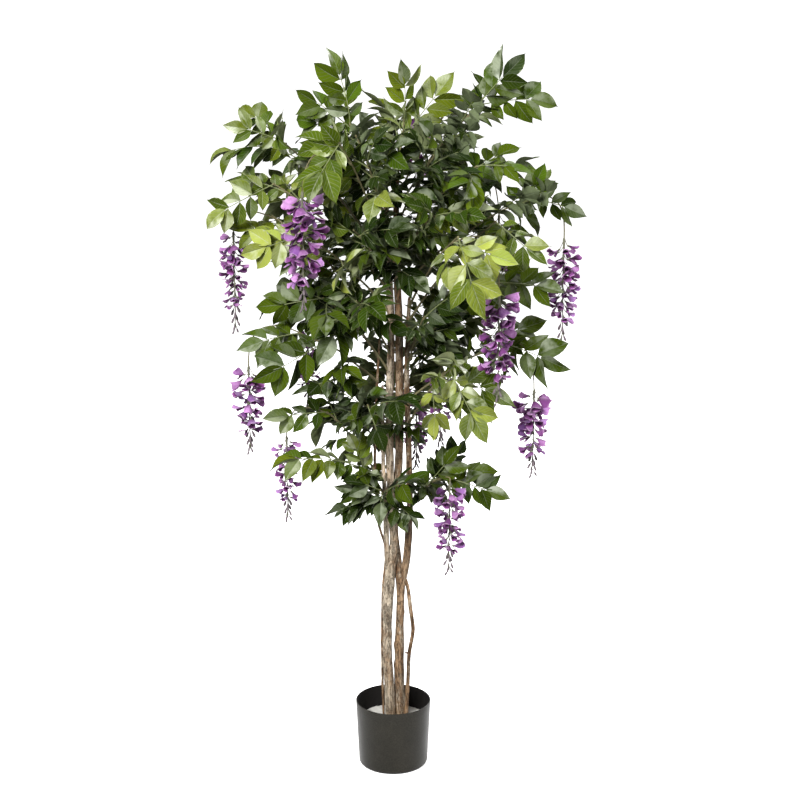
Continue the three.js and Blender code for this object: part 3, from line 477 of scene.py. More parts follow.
SPRAYS = {
    "top_left": Spray(
        "left", 0, 1440, [-99, -40, 1638], 20, "dark", 2, heart=6, fronds=[[1, [-153, -60, 1823], 0.3]],
    ),
    "top": Spray(
        "right", 0, 1485, [27, 20, 1642], 0, "mid", 2, tone=-0.3, heart=6,
        fronds=[[1, [22, -30, 1796], 0.3], [0.7, [150, 60, 1752], 0.7]],
    ),
    "top_right": Spray(
        "right", 0, 1430, [205, -8, 1682], 40, "dark", 2, tone=-0.1, fill=2, heart=2,
        fronds=[[1, [396, 0, 1690], 0.6], [0.9, [312, -40, 1806], 0.7]],
    ),
    "right_high": Spray(
        "right", 0, 1340, [195, -70, 1545], 40, "dark", 2, tone=0.25, fill=5,
        fronds=[[1, [325, -120, 1531], 0.3], [0.75, [308, 30, 1582], 0.6]],
    ),
    "right": Spray(
        "right", 0, 1235, [335, -10, 1462], 60, "dark", 2, tone=0.45, fill=5,
        fronds=[[1, [462, -40, 1425], 0.7], [0.93, [370, 10, 1539], 0.7]],
        racemes=[[0.95, [412, 10, 1351], 252, 38]],
    ),
    "right_front": Spray(
        "right", 1, 1160, [240, -100, 1420], 40, "bright", 1, fill=1, heart=0,
        fronds=[[1, [357, -140, 1317], 0.7], [0.55, [284, -70, 1393], 0.6]],
    ),
    "front_right": Spray(
        "right", 1, 1195, [150, -200, 1400], 40, "bright", 0, tone=0.3, leaf=1.2, fill=0, heart=0,
        fronds=[[1, [204, -270, 1217], 0.8], [0.9, [290, -200, 1330], 0.7], [0.75, [134, -220, 1272], 0.8]],
        racemes=[[0.86, [250, -130, 1249], 257, 43]],
    ),
    "right_low": Spray(
        "right", 1, 1090, [255, -30, 1262], 40, "dark", 1, tone=0.45, leaf=1.1, fill=1, heart=1,
        fronds=[[1, [414, -70, 1246], 0.6], [0.7, [344, 90, 1283], 0.4]],
    ),
    "right_lower": Spray(
        "right", 1, 960, [275, 0, 1105], 40, "dark", 2, tone=0.15, leaf=1.1, fill=2, heart=2,
        fronds=[[1, [428, -80, 1056], 0.7], [0.7, [375, 100, 1139], 0.4]],
        racemes=[[0.95, [346, 0, 976], 198, 40]],
    ),
    "front_low": Spray(
        "right", 1, 900, [135, -120, 1068], 30, "bright", 1, tone=-0.15, leaf=1.08, fill=1, heart=3,
        fronds=[[1, [223, -170, 896], 0.8], [0.85, [297, -110, 983], 0.6], [0.6, [104, -110, 888], 0.7]],
    ),
    "lowest_right": Spray(
        "right", 1, 700, [130, -20, 772], 25, "dark", 1, heart=11,
        fronds=[[1, [294, -20, 715], 0.7], [0.8, [262, 20, 778], 0.5], [0.45, [168, -60, 864], 0.7]],
        racemes=[[0.95, [139, -62, 760], 216, 38]],
    ),
    "front_left": Spray(
        "left", 0, 1340, [-120, -170, 1610], 30, "bright", 1, tone=-0.75, leaf=1.18, fill=2, heart=1,
        fronds=[[1, [-199, -240, 1484], 0.8], [0.85, [-167, -200, 1656], 0.7]],
        racemes=[[0.85, [-206, -170, 1488], 260, 48]],
    ),
    "left_yellow": Spray(
        "left", 0, 1180, [-210, -110, 1390], 40, "bright", 1, leaf=1.12, fill=2, heart=1,
        fronds=[[1, [-362, -110, 1337], 0.8], [0.7, [-350, -60, 1385], 0.5]],
    ),
    "left_dark": Spray(
        "left", 0, 1030, [-165, -70, 1232], 40, "dark", 2, leaf=1.14, fill=2, heart=1,
        fronds=[[1, [-335, -60, 1196], 0.7], [0.7, [-171, -190, 1095], 0.8]],
    ),
    "left_arm": Spray(
        "slender", 0, 1010, [-225, -40, 1140], 30, "dark", 1, leaf=1.08, fill=1, heart=1,
        fronds=[[1, [-376, -80, 1108], 0.6], [0.7, [-332, -150, 1037], 0.8]],
        racemes=[[0.9, [-352, -10, 1038], 196, 40]],
    ),
    "left_edge": Spray(
        "slender", 0, 880, [-105, -60, 1030], 20, "dark", 1, fill=0, heart=0,
        fronds=[[1, [-240, -110, 1000], 0.2]],
    ),
    "low_left": Spray(
        "slender", 0, 780, [-160, -20, 938], 30, "mid", 1, fill=1, heart=0,
        fronds=[[1, [-318, -60, 926], 0.6], [0.8, [-205, 50, 1015], 0.2]],
        racemes=[[0.95, [-262, -10, 862], 198, 32]],
    ),
    "lowest_left": Spray(
        "left", 1, 720, [-82, -10, 795], 20, "mid", 0, fill=1, heart=3,
        fronds=[[1, [-299, -135, 840], 0.35], [0.75, [-109, -60, 904], 0.7]],
    ),
    "low_front": Spray(
        "left", 0, 680, [-30, -75, 755], 15, "dark", 0, heart=9,
        fronds=[[1, [-122, -105, 801], 0.7], [0.85, [-41, -120, 674], 0.9], [0.6, [39, -110, 657], 0.15]],
    ),
    "left_high": Spray(
        "left", 0, 1300, [-262, -20, 1600], 50, "mid", 2, fill=4,
        fronds=[[1, [-398, -50, 1642], 0.7], [0.92, [-448, 20, 1548], 0.3], [0.75, [-338, 120, 1572], 0.5]],
    ),
    "left": Spray(
        "left", 0, 1235, [-280, -40, 1500], 50, "bright", 1, tone=-0.2, fill=2, heart=1,
        fronds=[[1, [-458, -70, 1407], 0.8], [0.9, [-401, 20, 1506], 0.5]],
    ),
    "left_mid": Spray(
        "left", 0, 1120, [-290, 0, 1420], 50, "mid", 1, tone=0.3, fronds=[[0.8, [-396, -15, 1387], 0.6]],
        racemes=[[0.95, [-383, 10, 1366], 226, 34]],
    ),
    # The sprays inside the crown have a lower tone, which is painted shade.
    "inner_top_left": Spray("left", 0, 1395, [-60, -110, 1560], 20, "dark", 3, tone=-0.3, fill=8, heart=24),
    "inner_top_right": Spray(
        "right", 0, 1390, [100, -110, 1580], 20, "dark", 2, tone=-0.3, fill=8, heart=24,
    ),
    "inner_left": Spray("left", 0, 1255, [-90, -160, 1410], 30, "dark", 2, tone=-0.3, fill=9, heart=28),
    "inner_right": Spray("right", 0, 1290, [95, -150, 1440], 30, "mid", 3, tone=-0.3, fill=9, heart=28),
    "inner_low_left": Spray("left", 0, 1075, [-85, -140, 1240], 30, "mid", 2, tone=-0.3, fill=8, heart=26),
    "inner_low_right": Spray(
        "right", 1, 1040, [75, -130, 1200], 30, "dark", 2, tone=-0.3, fill=9, heart=28,
    ),
    "inner_lowest": Spray(
        "left", 0, 880, [-60, -110, 980], 20, "dark", 2, tone=-0.3, fill=7, heart=24,
        fronds=[[1, [-21, -110, 863], 0.7]],
    ),
    "back_top_left": Spray("left", 0, 1410, [-110, 130, 1600], 20, "mid", 3),
    "back_top_right": Spray(
        "right", 0, 1450, [120, 130, 1640], 30, "mid", 3, racemes=[[0.5, [60, 150, 1640], 180, 32]],
    ),
    "back_left": Spray("left", 0, 1275, [-220, 160, 1450], 50, "mid", 2, fill=4, heart=6),
    "back_right": Spray(
        "right", 0, 1305, [220, 160, 1470], 50, "dark", 3, fill=4, heart=6,
        racemes=[[1, [265, 195, 1380], 230, 38]],
    ),
    "back": Spray("right", 0, 1190, [-20, 240, 1360], 50, "dark", 3, fill=5, heart=9),
    "back_low_left": Spray(
        "slender", 0, 1070, [-190, 140, 1220], 40, "dark", 2, fill=5, heart=11,
        racemes=[[0.85, [-212, 104, 1105], 170, 30]],
    ),
    "back_low_right": Spray(
        "right", 0, 1030, [190, 150, 1180], 40, "mid", 3, fill=5, heart=13,
        racemes=[[0.7, [118, 60, 1010], 170, 30]],
    ),
    "back_low": Spray(
        "right", 0, 860, [30, 180, 1000], 40, "mid", 3, fill=5, heart=14,
        racemes=[[1, [60, 225, 930], 200, 36]],
    ),
    "back_lowest": Spray("left", 1, 830, [-130, 120, 920], 30, "dark", 2, fill=4, heart=12),
}
# A twig roots at this share of the limb's radius and follows straight steps of its bow.
TWIG_ROOT, TWIG_STEPS = 0.3, 3
# A raceme's arm rises by this share of its reach and ends in a sleeve this long.
ARM_RISE, ARM_STEPS, SLEEVE = 0.5, 3, 10
# A frond's middle arches up by this share of its length, and its sides hang by `droop`.
FROND = {"rise": 0.09, "droop": 0.24, "half": 64}
# Its room is an oval round this middle, in shares of its length.
ROOM = {"from": 0.2, "middle": 0.56, "reach": 0.48, "steps": 20}
# The whole, the narrow and the short fronds: first seed, half width of the room that each
# takes, places on the twig and lengths.
KINDS = {
    "more": (1, FROND["half"], (0.3, 1), (150, 185)),
    "fill": (101, 28, (0.3, 1), (150, 185)),
    "heart": (201, 14, (0.15, 0.8), (115, 150)),
}
# A frond turns off its twig by `yaw` degrees and climbs, and faces outward and upward.
GROWTH = {"yaw": (15, 95), "climb": (-0.7, 0.5), "outward": (0.4, 1), "upward": (0.3, 0.9), "tries": 160}
# A raceme keeps its radius times this free.
WIDEST_WHORL = 1.12
# How far to the front and to the back the narrow and short fronds go.
REACH = (-264, 292)
# Here the stems show between the fronds: from and to on x, y and z.
GLIMPSE = (-36, 16), (-200, -28), (930, 1215)
UP = np.array([0.0, 0, 1])
# The crown's room is kept in cells of 8 mm, with some below the floor.
CELL, HALF_GRID, CELLS_BELOW = 8, 160, 8
taken = np.zeros((2 * HALF_GRID, 2 * HALF_GRID, 2 * HALF_GRID), bool)
NEAR = np.indices((3, 3, 3)).reshape(3, -1).T - 1


def cells(points):
    return np.floor(np.asarray(points, float) / CELL).astype(int) + (HALF_GRID, HALF_GRID, CELLS_BELOW)


def claim(points):
    """Marks the room round the points as taken."""
    i, j, k = (cells(points)[:, None] + NEAR).reshape(-1, 3).T
    taken[i, j, k] = True


def is_free(points):
    i, j, k = cells(points).T
    return not taken[i, j, k].any()


def seeded(seed):
    """A source of numbers between two bounds, the same each time for the same seed."""
    state = [seed]

    def draw(low, high):
        state[0] = (state[0] * 1664525 + 1013904223) % 2**32
        return low + (high - low) * (state[0] / 2**32)

    return draw


def mix(low, high, share):
    return (1 - share) * low + share * high


def outwards(turn):
    """The level direction at a turn round the upright."""
    return np.array([math.cos(turn), math.sin(turn), 0])


def limb_at(limb, height):
    """The middle of a limb at a height, and its radius there."""
    top = next(i for i, point in enumerate(limb) if point[2] > height)
    low, high = np.array(limb[top - 1], float), np.array(limb[top], float)
    share = (height - low[2]) / (high[2] - low[2])
    return low[:3] + (high[:3] - low[:3]) * share, mix(low[3], high[3], share)


def bow(start, handle, end, t):
    """The point at share `t` of the bow from `start` to `end`, pulled to `handle`."""
    return (1 - t) * (1 - t) * start + 2 * (1 - t) * t * handle + t * t * end


def bow_tangent(curve, t):
    return unit(bow(*curve, min(1, t + 0.0001)) - bow(*curve, max(0, t - 0.0001)))


def twig_of(spray):
    point, radius = limb_at(STEMS[spray.stem][spray.limb], spray.height)
    tip = np.array(spray.tip, float)
    handle = point + (tip - point) * 0.5 + UP * spray.bow
    root = point + unit(handle - point) * (TWIG_ROOT * radius)
    return root, handle, tip


def on_twig(twig, place):
    """The point at share `place` of a twig, along its straight steps."""
    step = min(math.floor(place * TWIG_STEPS), TWIG_STEPS - 1)
    low, high = bow(*twig, step / TWIG_STEPS), bow(*twig, (step + 1) / TWIG_STEPS)
    return low + (high - low) * (place * TWIG_STEPS - step)


def arm_of(twig, raceme):
    """The bow of the arm that a raceme hangs from: it ends pointing straight down."""
    root, end = on_twig(twig, raceme[0]), np.array(raceme[1], float)
    rise = ARM_RISE * math.hypot(end[0] - root[0], end[1] - root[1])
    handle = np.array([end[0], end[1], max(root[2], end[2]) + rise])
    return root, handle, end + UP * SLEEVE


def make_frond(root, tip, facing):
    along = unit(tip - root)
    normal = square(facing, along)
    across, length = np.cross(normal, along), math.sqrt(sum((tip - root) ** 2))
    return {"root": root, "along": along, "normal": normal, "across": across, "length": length}


def on_frond(frond, a, w):
    """Points of the frond's surface, `a` along it and `w` to its side."""
    a, w = np.atleast_1d(a)[:, None], np.atleast_1d(w)[:, None]
    t = a / frond["length"]
    lift = FROND["rise"] * frond["length"] * 4 * t * (1 - t) - FROND["droop"] * abs(w)
    return frond["root"] + frond["along"] * a + frond["across"] * w + frond["normal"] * lift


def frond_room(frond, half_width):
    """The room that a frond takes, as points over its whole spread."""
    share = ROOM["from"] + ((1 - ROOM["from"]) * np.arange(ROOM["steps"] + 1)) / ROOM["steps"]
    inside = (share - ROOM["middle"]) / ROOM["reach"]
    half = half_width * np.sqrt(np.maximum(0, 1 - inside * inside))
    count = math.ceil(half_width / CELL)
    t, w = np.meshgrid(share, np.arange(-count, count + 1) * CELL, indexing="ij")
    kept = abs(w) <= half[:, None]
    return on_frond(frond, t[kept] * frond["length"], w[kept])


def grow(twig, count, draw, half_width, places, lengths):
    """Fronds along a twig, each turned until it has room for itself."""
    grown = []
    for n in range(count):
        for attempt in range(GROWTH["tries"]):
            place = mix(*places, (n + draw(0, 1)) / count)
            root = on_twig(twig, place)
            forward = bow_tangent(twig, place)
            aside = unit(np.cross(forward, UP)) * (1 if (n + attempt) % 2 else -1)
            yaw = math.radians(draw(*GROWTH["yaw"]))
            along = forward * math.cos(yaw) + aside * math.sin(yaw)
            along = along + UP * draw(*GROWTH["climb"])
            tip = root + unit(along) * draw(*lengths)
            facing = unit(np.array([tip[0], tip[1], 0])) * draw(*GROWTH["outward"])
            facing = facing + UP * draw(*GROWTH["upward"])
            frond = make_frond(root, tip, facing)
            room = frond_room(frond, half_width)
            if is_free(room):
                claim(room)
                grown.append(frond)
                break
    return grown


def grow_all(kind):
    """Fronds of one kind on every spray, each spray with a seed of its own."""
    first_seed, *limits = KINDS[kind]
    for number, (name, spray) in enumerate(SPRAYS.items()):
        grown = grow(twigs[name], getattr(spray, kind), seeded(number + first_seed), *limits)
        fronds[name] += [{**frond, "short": kind == "heart"} for frond in grown]


for limb in sum(STEMS.values(), []):
    for step in np.arange(0, limb[-1][2] - limb[0][2], CELL):
        point, radius = limb_at(limb, limb[0][2] + step)
        claim([point + radius * outwards(a) for a in np.arange(8) * math.pi / 4])

twigs = {name: twig_of(spray) for name, spray in SPRAYS.items()}
for twig in twigs.values():
    # But for its first 5%, which lies in the bark.
    claim([bow(*twig, t) for t in np.arange(2, 41) / 40])
arms = {name: [arm_of(twigs[name], raceme) for raceme in spray.racemes] for name, spray in SPRAYS.items()}
for arm in sum(arms.values(), []):
    claim([*[bow(*arm, t / ARM_STEPS) for t in range(ARM_STEPS + 1)], arm[2] - UP * SLEEVE])
racemes = [(name, *raceme) for name, spray in SPRAYS.items() for raceme in spray.racemes]
turn = np.arange(24) * math.pi / 12
for _, _, top, length, radius in racemes:
    steps = math.ceil(length / CELL)
    for level in range(steps + 1):
        height = top[2] + SLEEVE - (length + SLEEVE) * level / steps
        for out in np.arange(0, radius * WIDEST_WHORL, CELL):
            ring = [top[0] + out * np.cos(turn), top[1] + out * np.sin(turn), np.full(len(turn), height)]
            claim(np.array(ring).T)

woody = taken.copy()
fronds = {name: [] for name in SPRAYS}
for name, spray in SPRAYS.items():
    for place, tip, lean in spray.fronds:
        facing = np.array([0, -lean, 1 - lean])
        frond = make_frond(on_twig(twigs[name], place), np.array(tip, float), facing)
        fronds[name].append(frond)
        claim(frond_room(frond, FROND["half"]))
grow_all("more")
glimpse = np.meshgrid(*[np.arange(low, high, CELL) for low, high in GLIMPSE])
glimpse = np.stack(glimpse, axis=3).reshape(-1, 3)
front, rear = cells([[0, REACH[0], 0], [0, REACH[1], 0]])[:, 1]
for grid in (taken, woody):
    grid[:, :front] = grid[:, rear:] = True
claim(glimpse)
grow_all("fill")
# The short fronds may pass through the others, but not through wood or racemes.
taken[:] = woody
claim(glimpse)
grow_all("heart")


# ---- Sprays -------------------------------------
# Each twig is a wire wrapped in brown tape, with a collar where a frond leaves it. The
# leaflets are cut from waxed cloth, pressed with their veins and set in pairs on a rib.

TWIG = {"root": 2.9, "tip": 1.7, "flare": 1.6, "sides": 9, "sway": 2.2}
# The tape's collar round the foot of a frond: [along the frond, radius].
COLLAR = [(-2.5, 1.2), (-1, 2.6), (1, 2.9), (4, 2.1), (7, 1.3)]
# A rib is bare for its first 18 mm or 13%, and its last pair stands 8 mm before its end.
RIB = {"root": 1.6, "tip": 0.85, "bare": 18, "bare_share": 0.13, "end": 8, "steps": 10}
# `long` is the last leaflet's length on a frond of 165 mm, and `beyond` the share of it
# beyond the rib. `wide` is a share of its length. `angle` and `size` go from the first pair
# to the last one.
LEAFLET = {
    "long": 72, "frond": 165, "beyond": 0.93, "wide": 0.485, "pitch": 27, "thick": 0.7,
    "angle": (66, 46), "size": (0.76, 1),
}
# How far the leaflets stray from that: from and to.
STRAY = {
    "long": (0.94, 1.12), "wide": (0.9, 1.1), "angle": (-9, 9), "size": (0.84, 1.08), "place": (-5, 5),
    "droop": (0, 2.4), "roll": (-0.8, 0.8), "tint": (-0.35, 0.35),
}
# How each leaflet is bent, as `blade` takes it: from and to.
LEAF_FORM = {
    "bend": (-0.2, 0.8), "fold": (0.12, 0.7), "twist": (-0.6, 0.6), "wave": (0.8, 3), "phase": (0, 6),
    "ragged": (0.02, 0.07),
}
# A short frond's leaflets have this much less of each, and roll this much more. Their lower tint is painted
# shade, as they grow close to the stems.
SHORT = {"long": 0.18, "pitch": 5, "tint": 0.2, "wide": 0.06, "roll": 0.5}
SPRAY_SEED = 501
# The places of these finishes in a spray's list, where the leaf's is 0.
TAPE, RIB_GREEN = 1, 2
# Turns of the waves along a blade's margin, in radians from end to end.
RAGS, RIPPLES, FRILLS = 9, 8, 5


def spindle(shape, foot, axis, form, finish, sides=7, size=1):
    """A straight rod from `foot` along `axis`, turned to [distance, radius] pairs."""
    rod(shape, [foot + axis * (a * size) for a, _ in form], [r * size for _, r in form], sides, finish)


class Net:
    """The net of points of a thin leaf or petal, whose two faces meet at its margin."""

    def __init__(self, rows, columns, outline):
        inner, across = np.array(rows[1:-1]), np.array(columns)
        n, m = len(inner), len(across)
        top_s, top_w = np.meshgrid(inner, across, indexing="ij")
        low_s, low_w = np.meshgrid(inner, across[1:-1], indexing="ij")
        self.along = np.concatenate([top_s.ravel(), low_s.ravel(), [0, 1]])
        self.across = np.concatenate([top_w.ravel(), low_w.ravel(), [0, 0]])
        self.under = np.concatenate([np.zeros(n * m), np.ones(n * (m - 2)), [0.5, 0.5]])
        self.face = 1 - np.where((self.under == 0) & (abs(self.across) == 1), 0.5, self.under)
        self.spread = outline(self.along)
        top = np.arange(n * m).reshape(n, m)
        low = np.arange(n * (m - 2)).reshape(n, m - 2) + n * m
        low = np.hstack([top[:, :1], low, top[:, -1:]])
        foot, tip = len(self.along) - 2, len(self.along) - 1
        self.faces = []
        for sheet, flip in ((top, 1), (low, -1)):
            quads = np.stack([sheet[:-1, :-1], sheet[1:, :-1], sheet[1:, 1:], sheet[:-1, 1:]], axis=2)
            start = np.stack([np.full(m - 1, foot), sheet[0, :-1], sheet[0, 1:]], axis=1)
            end = np.stack([np.full(m - 1, tip), sheet[-1, 1:], sheet[-1, :-1]], axis=1)
            self.faces += [quads.reshape(-1, 4)[:, ::flip], start[:, ::flip], end[:, ::flip]]


def outline(start, end, rise, fall, stalk=0.0, drip=0.0):
    """Half of a blade's width along it: 1 at its widest, with a thin stalk and a drawn-out tip."""
    peak = rise / (rise + fall)
    most = peak**rise * (1 - peak) ** fall

    def width(s):
        t = np.clip((s - start) / (end - start), 0, 1)
        thin = np.where(s < 0.5, stalk, drip * (1 - s))
        return np.maximum(t**rise * (1 - t) ** fall / most, thin)

    return width


LEAF_OUTLINE = outline(0.045, 0.93, rise=0.85, fall=1.28, stalk=0.035, drip=0.4)
LEAF_NET = Net(
    [0, 0.03, 0.075, 0.14, 0.25, 0.38, 0.52, 0.65, 0.76, 0.84, 0.91, 1],
    [-1, -0.68, -0.34, 0, 0.34, 0.68, 1],
    LEAF_OUTLINE,
)
SHORT_LEAF_NET = Net([0, 0.04, 0.14, 0.32, 0.52, 0.72, 0.88, 1], [-1, -0.5, 0, 0.5, 1], LEAF_OUTLINE)


def blade(shape, net, root, along, normal, length, width, tint, thick, **form):
    """A thin blade: `bend` and `twist` turn it in radians from foot to tip, `fold` and `cup`
    lift its sides, `wave` ripples its margin and `frill` its end."""
    s, w = net.along, net.across
    phase = form.get("phase", 0)
    ragged = 1 + form.get("ragged", 0) * np.sin(RAGS * s + phase + 2 * np.sign(w))
    y = 0.5 * width * net.spread * w * ragged
    lift = form.get("fold", 0) * abs(y) + form.get("cup", 0) * y * y * 2 / width
    lift = lift + form.get("wave", 0) * w * w * s * np.sin(RIPPLES * s + phase + 1.4 * np.sign(w))
    lift = lift + form.get("frill", 0) * s**3 * np.sin(FRILLS * w + phase)
    lift = lift - thick * net.under * (1 - w**4)
    bend = form.get("bend", 0) or 1e-4
    turned_by, twist = bend * s, form.get("twist", 0) * s
    ahead = length * np.sin(turned_by) / bend + form.get("notch", 0) * length * s * s * abs(w)
    down = length * (1 - np.cos(turned_by)) / bend
    side = np.cross(normal, along)
    raised = np.outer(np.sin(turned_by), along) + np.outer(np.cos(turned_by), normal)
    cosine, sine = np.cos(twist)[:, None], np.sin(twist)[:, None]
    points = root + np.outer(ahead, along) - np.outer(down, normal)
    points = points + (side * cosine + raised * sine) * y[:, None]
    points = points + (raised * cosine - side * sine) * lift[:, None]
    marks = np.stack([s, w, net.face, np.full(len(s), tint)], axis=1)
    shape.add(points, net.faces, marks=marks)


def leafy_frond(shape, frond, tone, large, draw):
    """The rib of a frond with its leaflets: pairs that grow larger outwards, and a last one."""
    length = frond["length"]
    net, less = (SHORT_LEAF_NET, SHORT) if frond.get("short") else (LEAF_NET, dict.fromkeys(SHORT, 0))
    last = LEAFLET["long"] * draw(*STRAY["long"]) * min(1.1, max(0.88, length / LEAFLET["frond"]))
    last *= large - less["long"]
    first = max(RIB["bare"], RIB["bare_share"] * length)
    rib_end = length - LEAFLET["beyond"] * last
    outermost = rib_end - RIB["end"]
    pairs = max(1, round((outermost - first) / (LEAFLET["pitch"] * large - less["pitch"])) + 1)
    ribs = np.linspace(0, rib_end, RIB["steps"])
    radii = np.linspace(RIB["root"], RIB["tip"], RIB["steps"])
    rod(shape, on_frond(frond, ribs, ribs * 0), radii, 6, RIB_GREEN)
    # A lower tone inside the crown and a short frond's lower tint are painted shade.
    frond_tint = draw(0.0, 1.0) + tone - less["tint"]

    def leaflet(a, turn, size, droop):
        foot = on_frond(frond, a, 0)[0]
        forward = unit(on_frond(frond, a + 1, 0)[0] - foot)
        up = square(frond["normal"], forward)
        side = np.cross(up, forward)
        aim = unit(forward * math.cos(turn) + side * math.sin(turn) - up * droop)
        lean = square(up + side * math.sin(turn) * FROND["droop"], aim)
        roll = draw(*STRAY["roll"]) * draw(0.2, 1) * (1 + less["roll"])
        lean = lean * math.cos(roll) + np.cross(aim, lean) * math.sin(roll)
        width = size * (LEAFLET["wide"] - less["wide"]) * draw(*STRAY["wide"])
        tint = frond_tint + draw(*STRAY["tint"])
        form = {key: draw(*span) for key, span in LEAF_FORM.items()}
        blade(shape, net, foot, aim, lean, size, width, tint, LEAFLET["thick"], **form)

    for n, a in enumerate(np.linspace(first, outermost, pairs)):
        share = n / max(1, pairs - 1)
        for hand in (-1, 1):
            turn = hand * math.radians(mix(*LEAFLET["angle"], share) + draw(*STRAY["angle"]))
            size = last * mix(*LEAFLET["size"], share) * draw(*STRAY["size"])
            leaflet(a + draw(*STRAY["place"]), turn, size, FROND["droop"] * draw(*STRAY["droop"]))
    leaflet(rib_end, math.radians(draw(-8, 8)), last, draw(-0.05, 0.12))


def blade_marks(finish):
    """A blade's marks: the place along and across it, which face, and the tint."""
    place = finish.node("Attribute", {"attribute_name": "place"}, out=1)
    axes = [finish.node("SeparateXYZ", {}, {0: place}, out=axis) for axis in range(3)]
    return *axes, finish.node("Attribute", {"attribute_name": "tint"}, out=2)


def saw(wire):
    """Runs from 0 to 1 again each time the wire's value grows by 1."""
    return wire.maths("FRACT", wire, 0)


def leaf_finish(name, deep, light, under, chill):
    """Waxed cloth: pressed veins, a paler back, and each leaflet a little off the next. Some leaflets carry
    a painted sheen, paler in patches and mostly on one half, over a glossy coat.
    """
    leaf = Finish(name, Specular_IOR_Level=0.04, Coat_Roughness=0.3)
    along, across, face, tint = blade_marks(leaf)
    aside, upper = abs(across), leaf.fade(face, 0.45, 0.55)
    rib = 1 - leaf.fade(aside, 0.015, 0.09)
    veins = leaf.fade(abs(saw(along * 8.5 - aside * 2.1) - 0.5), 0.34, 0.5)
    veins = veins * (1 - leaf.fade(aside, 0.7, 1.0))
    mottle = leaf.noise(75, detail=4)
    weave = leaf.noise(1100, detail=1)
    # Painted sheen: on some leaflets, patches paler towards the back's colour, mostly on one half of the
    # blade and less on darker leaflets. The same leaflets have a glossy coat.
    hand = leaf.fade(across, -0.06, 0.06)
    sheen_leaflets = leaf.fade(saw(tint * 5.7), 0.3, 0.8)
    sheen = sheen_leaflets * leaf.fade(leaf.noise(26), 0.36, 0.62) * (0.25 + 0.75 * hand)
    sheen = sheen * leaf.fade(tint, -0.6, 0.3)
    body = leaf.blend(leaf.fade(tint + (mottle - 0.5) * 0.5, 0.0, 1.0), deep, light)
    cool = leaf.fade(saw(tint * 9.3), 0.55, 0.9)
    body = leaf.blend(cool * chill, body, leaf.blend(1, body, (0.85, 1, 1.12), "MULTIPLY"))
    body = leaf.blend(leaf.fade(aside, 0.86, 1.0) * 0.3, body, light)
    body = leaf.blend(rib * 0.3 + veins * 0.13, body, under)
    # The painted sheen, towards the back's colour.
    body = leaf.blend(sheen * 0.85, body, under)
    back = leaf.blend(rib * 0.4 + veins * 0.25, leaf.blend(0.45, under, light), under)
    back = leaf.blend(mottle * 0.6, back, deep)
    colour = leaf.blend(upper, back, body)
    leaf.feed(Base_Color=colour, Roughness=0.62 + 0.2 * mottle, Coat_Weight=upper * sheen)
    leaf.bump(0.15 * weave - 0.8 * rib - 0.6 * veins + 0.6 * mottle, 0.0011)
    return leaf


def mottled(name, gloss, grain, dark, light, rough, depth):
    """A plain finish between two colours, rougher and higher where it is lighter."""
    finish = Finish(name, Specular_IOR_Level=gloss)
    shade = finish.noise(*grain)
    finish.feed(Base_Color=finish.blend(shade, dark, light), Roughness=rough[0] + rough[1] * shade)
    finish.bump(shade, depth)
    return finish


# A deep and a light green, the pale back, which is also the colour of the painted sheen, and how blue some
# of the leaflets are.
GREENS = {
    "dark": ("leaf_dark_green", (0.011, 0.023, 0.0002), (0.057, 0.089, 0.001), (0.25, 0.285, 0.19), 1),
    "mid": ("leaf_mid_green", (0.022, 0.045, 0.0004), (0.13, 0.165, 0.005), (0.37, 0.41, 0.26), 1),
    "bright": ("leaf_yellow_green", (0.055, 0.088, 0.002), (0.31, 0.355, 0.06), (0.6, 0.64, 0.45), 0.4),
}
LEAVES = {shade: leaf_finish(*look) for shade, look in GREENS.items()}
tape = mottled(
    "brown_wrapped_twig", 0.3, (170, 0.4, 4, 0.6), (0.06, 0.053, 0.022), (0.24, 0.215, 0.105),
    (0.65, 0.25), 0.0009,
)
rib_green = mottled(
    "green_rib", 0.35, (120, 1, 2), (0.07, 0.095, 0.022), (0.25, 0.28, 0.12), (0.5, 0.2), 0.0004,
)

for number, (name, spray) in enumerate(SPRAYS.items()):
    shape, twig, draw = Shape(), twigs[name], seeded(number + SPRAY_SEED)
    steps = np.linspace(0, 1, 15)
    route = np.array([bow(*twig, t) for t in steps])
    sway = TWIG["sway"] * np.sin(steps * 13 + number) * np.sin(steps * math.pi)
    aside = square(np.array([0.0, 1, 0]), unit(twig[2] - twig[0]))
    route = route + np.outer(sway, UP) + np.outer(sway[::-1], aside)
    radii = mix(TWIG["root"], TWIG["tip"], steps) + TWIG["flare"] * np.exp(-steps * 30)
    rod(shape, route, radii, TWIG["sides"], TAPE)
    for arm in arms[name]:
        steps = np.linspace(0, 1, 14)
        swing = np.outer(4 * np.sin(steps * 5 + number) * np.sin(steps * math.pi), [0.8, 0.6, 0])
        route = [*(np.array([bow(*arm, t) for t in steps]) + swing), arm[2] - UP * SLEEVE]
        rod(shape, route, [TWIG["tip"]] * len(route), 7, TAPE)
    for frond in fronds[name]:
        spindle(shape, frond["root"], frond["along"], COLLAR, TAPE)
        leafy_frond(shape, frond, spray.tone, spray.leaf, draw)
    finishes = [LEAVES[spray.shade], tape, rib_green]
    shape.piece(f"leaves_{name}", f"leaf_{spray.shade}", finishes, f"spray_{name}")


# ---- Racemes ------------------------------------
# Violet cloth florets, each a fan over a scoop with a keel between, in a small green cup,
# stand on wires round a hanging stalk, above closed buds. A sleeve joins stalk and arm.

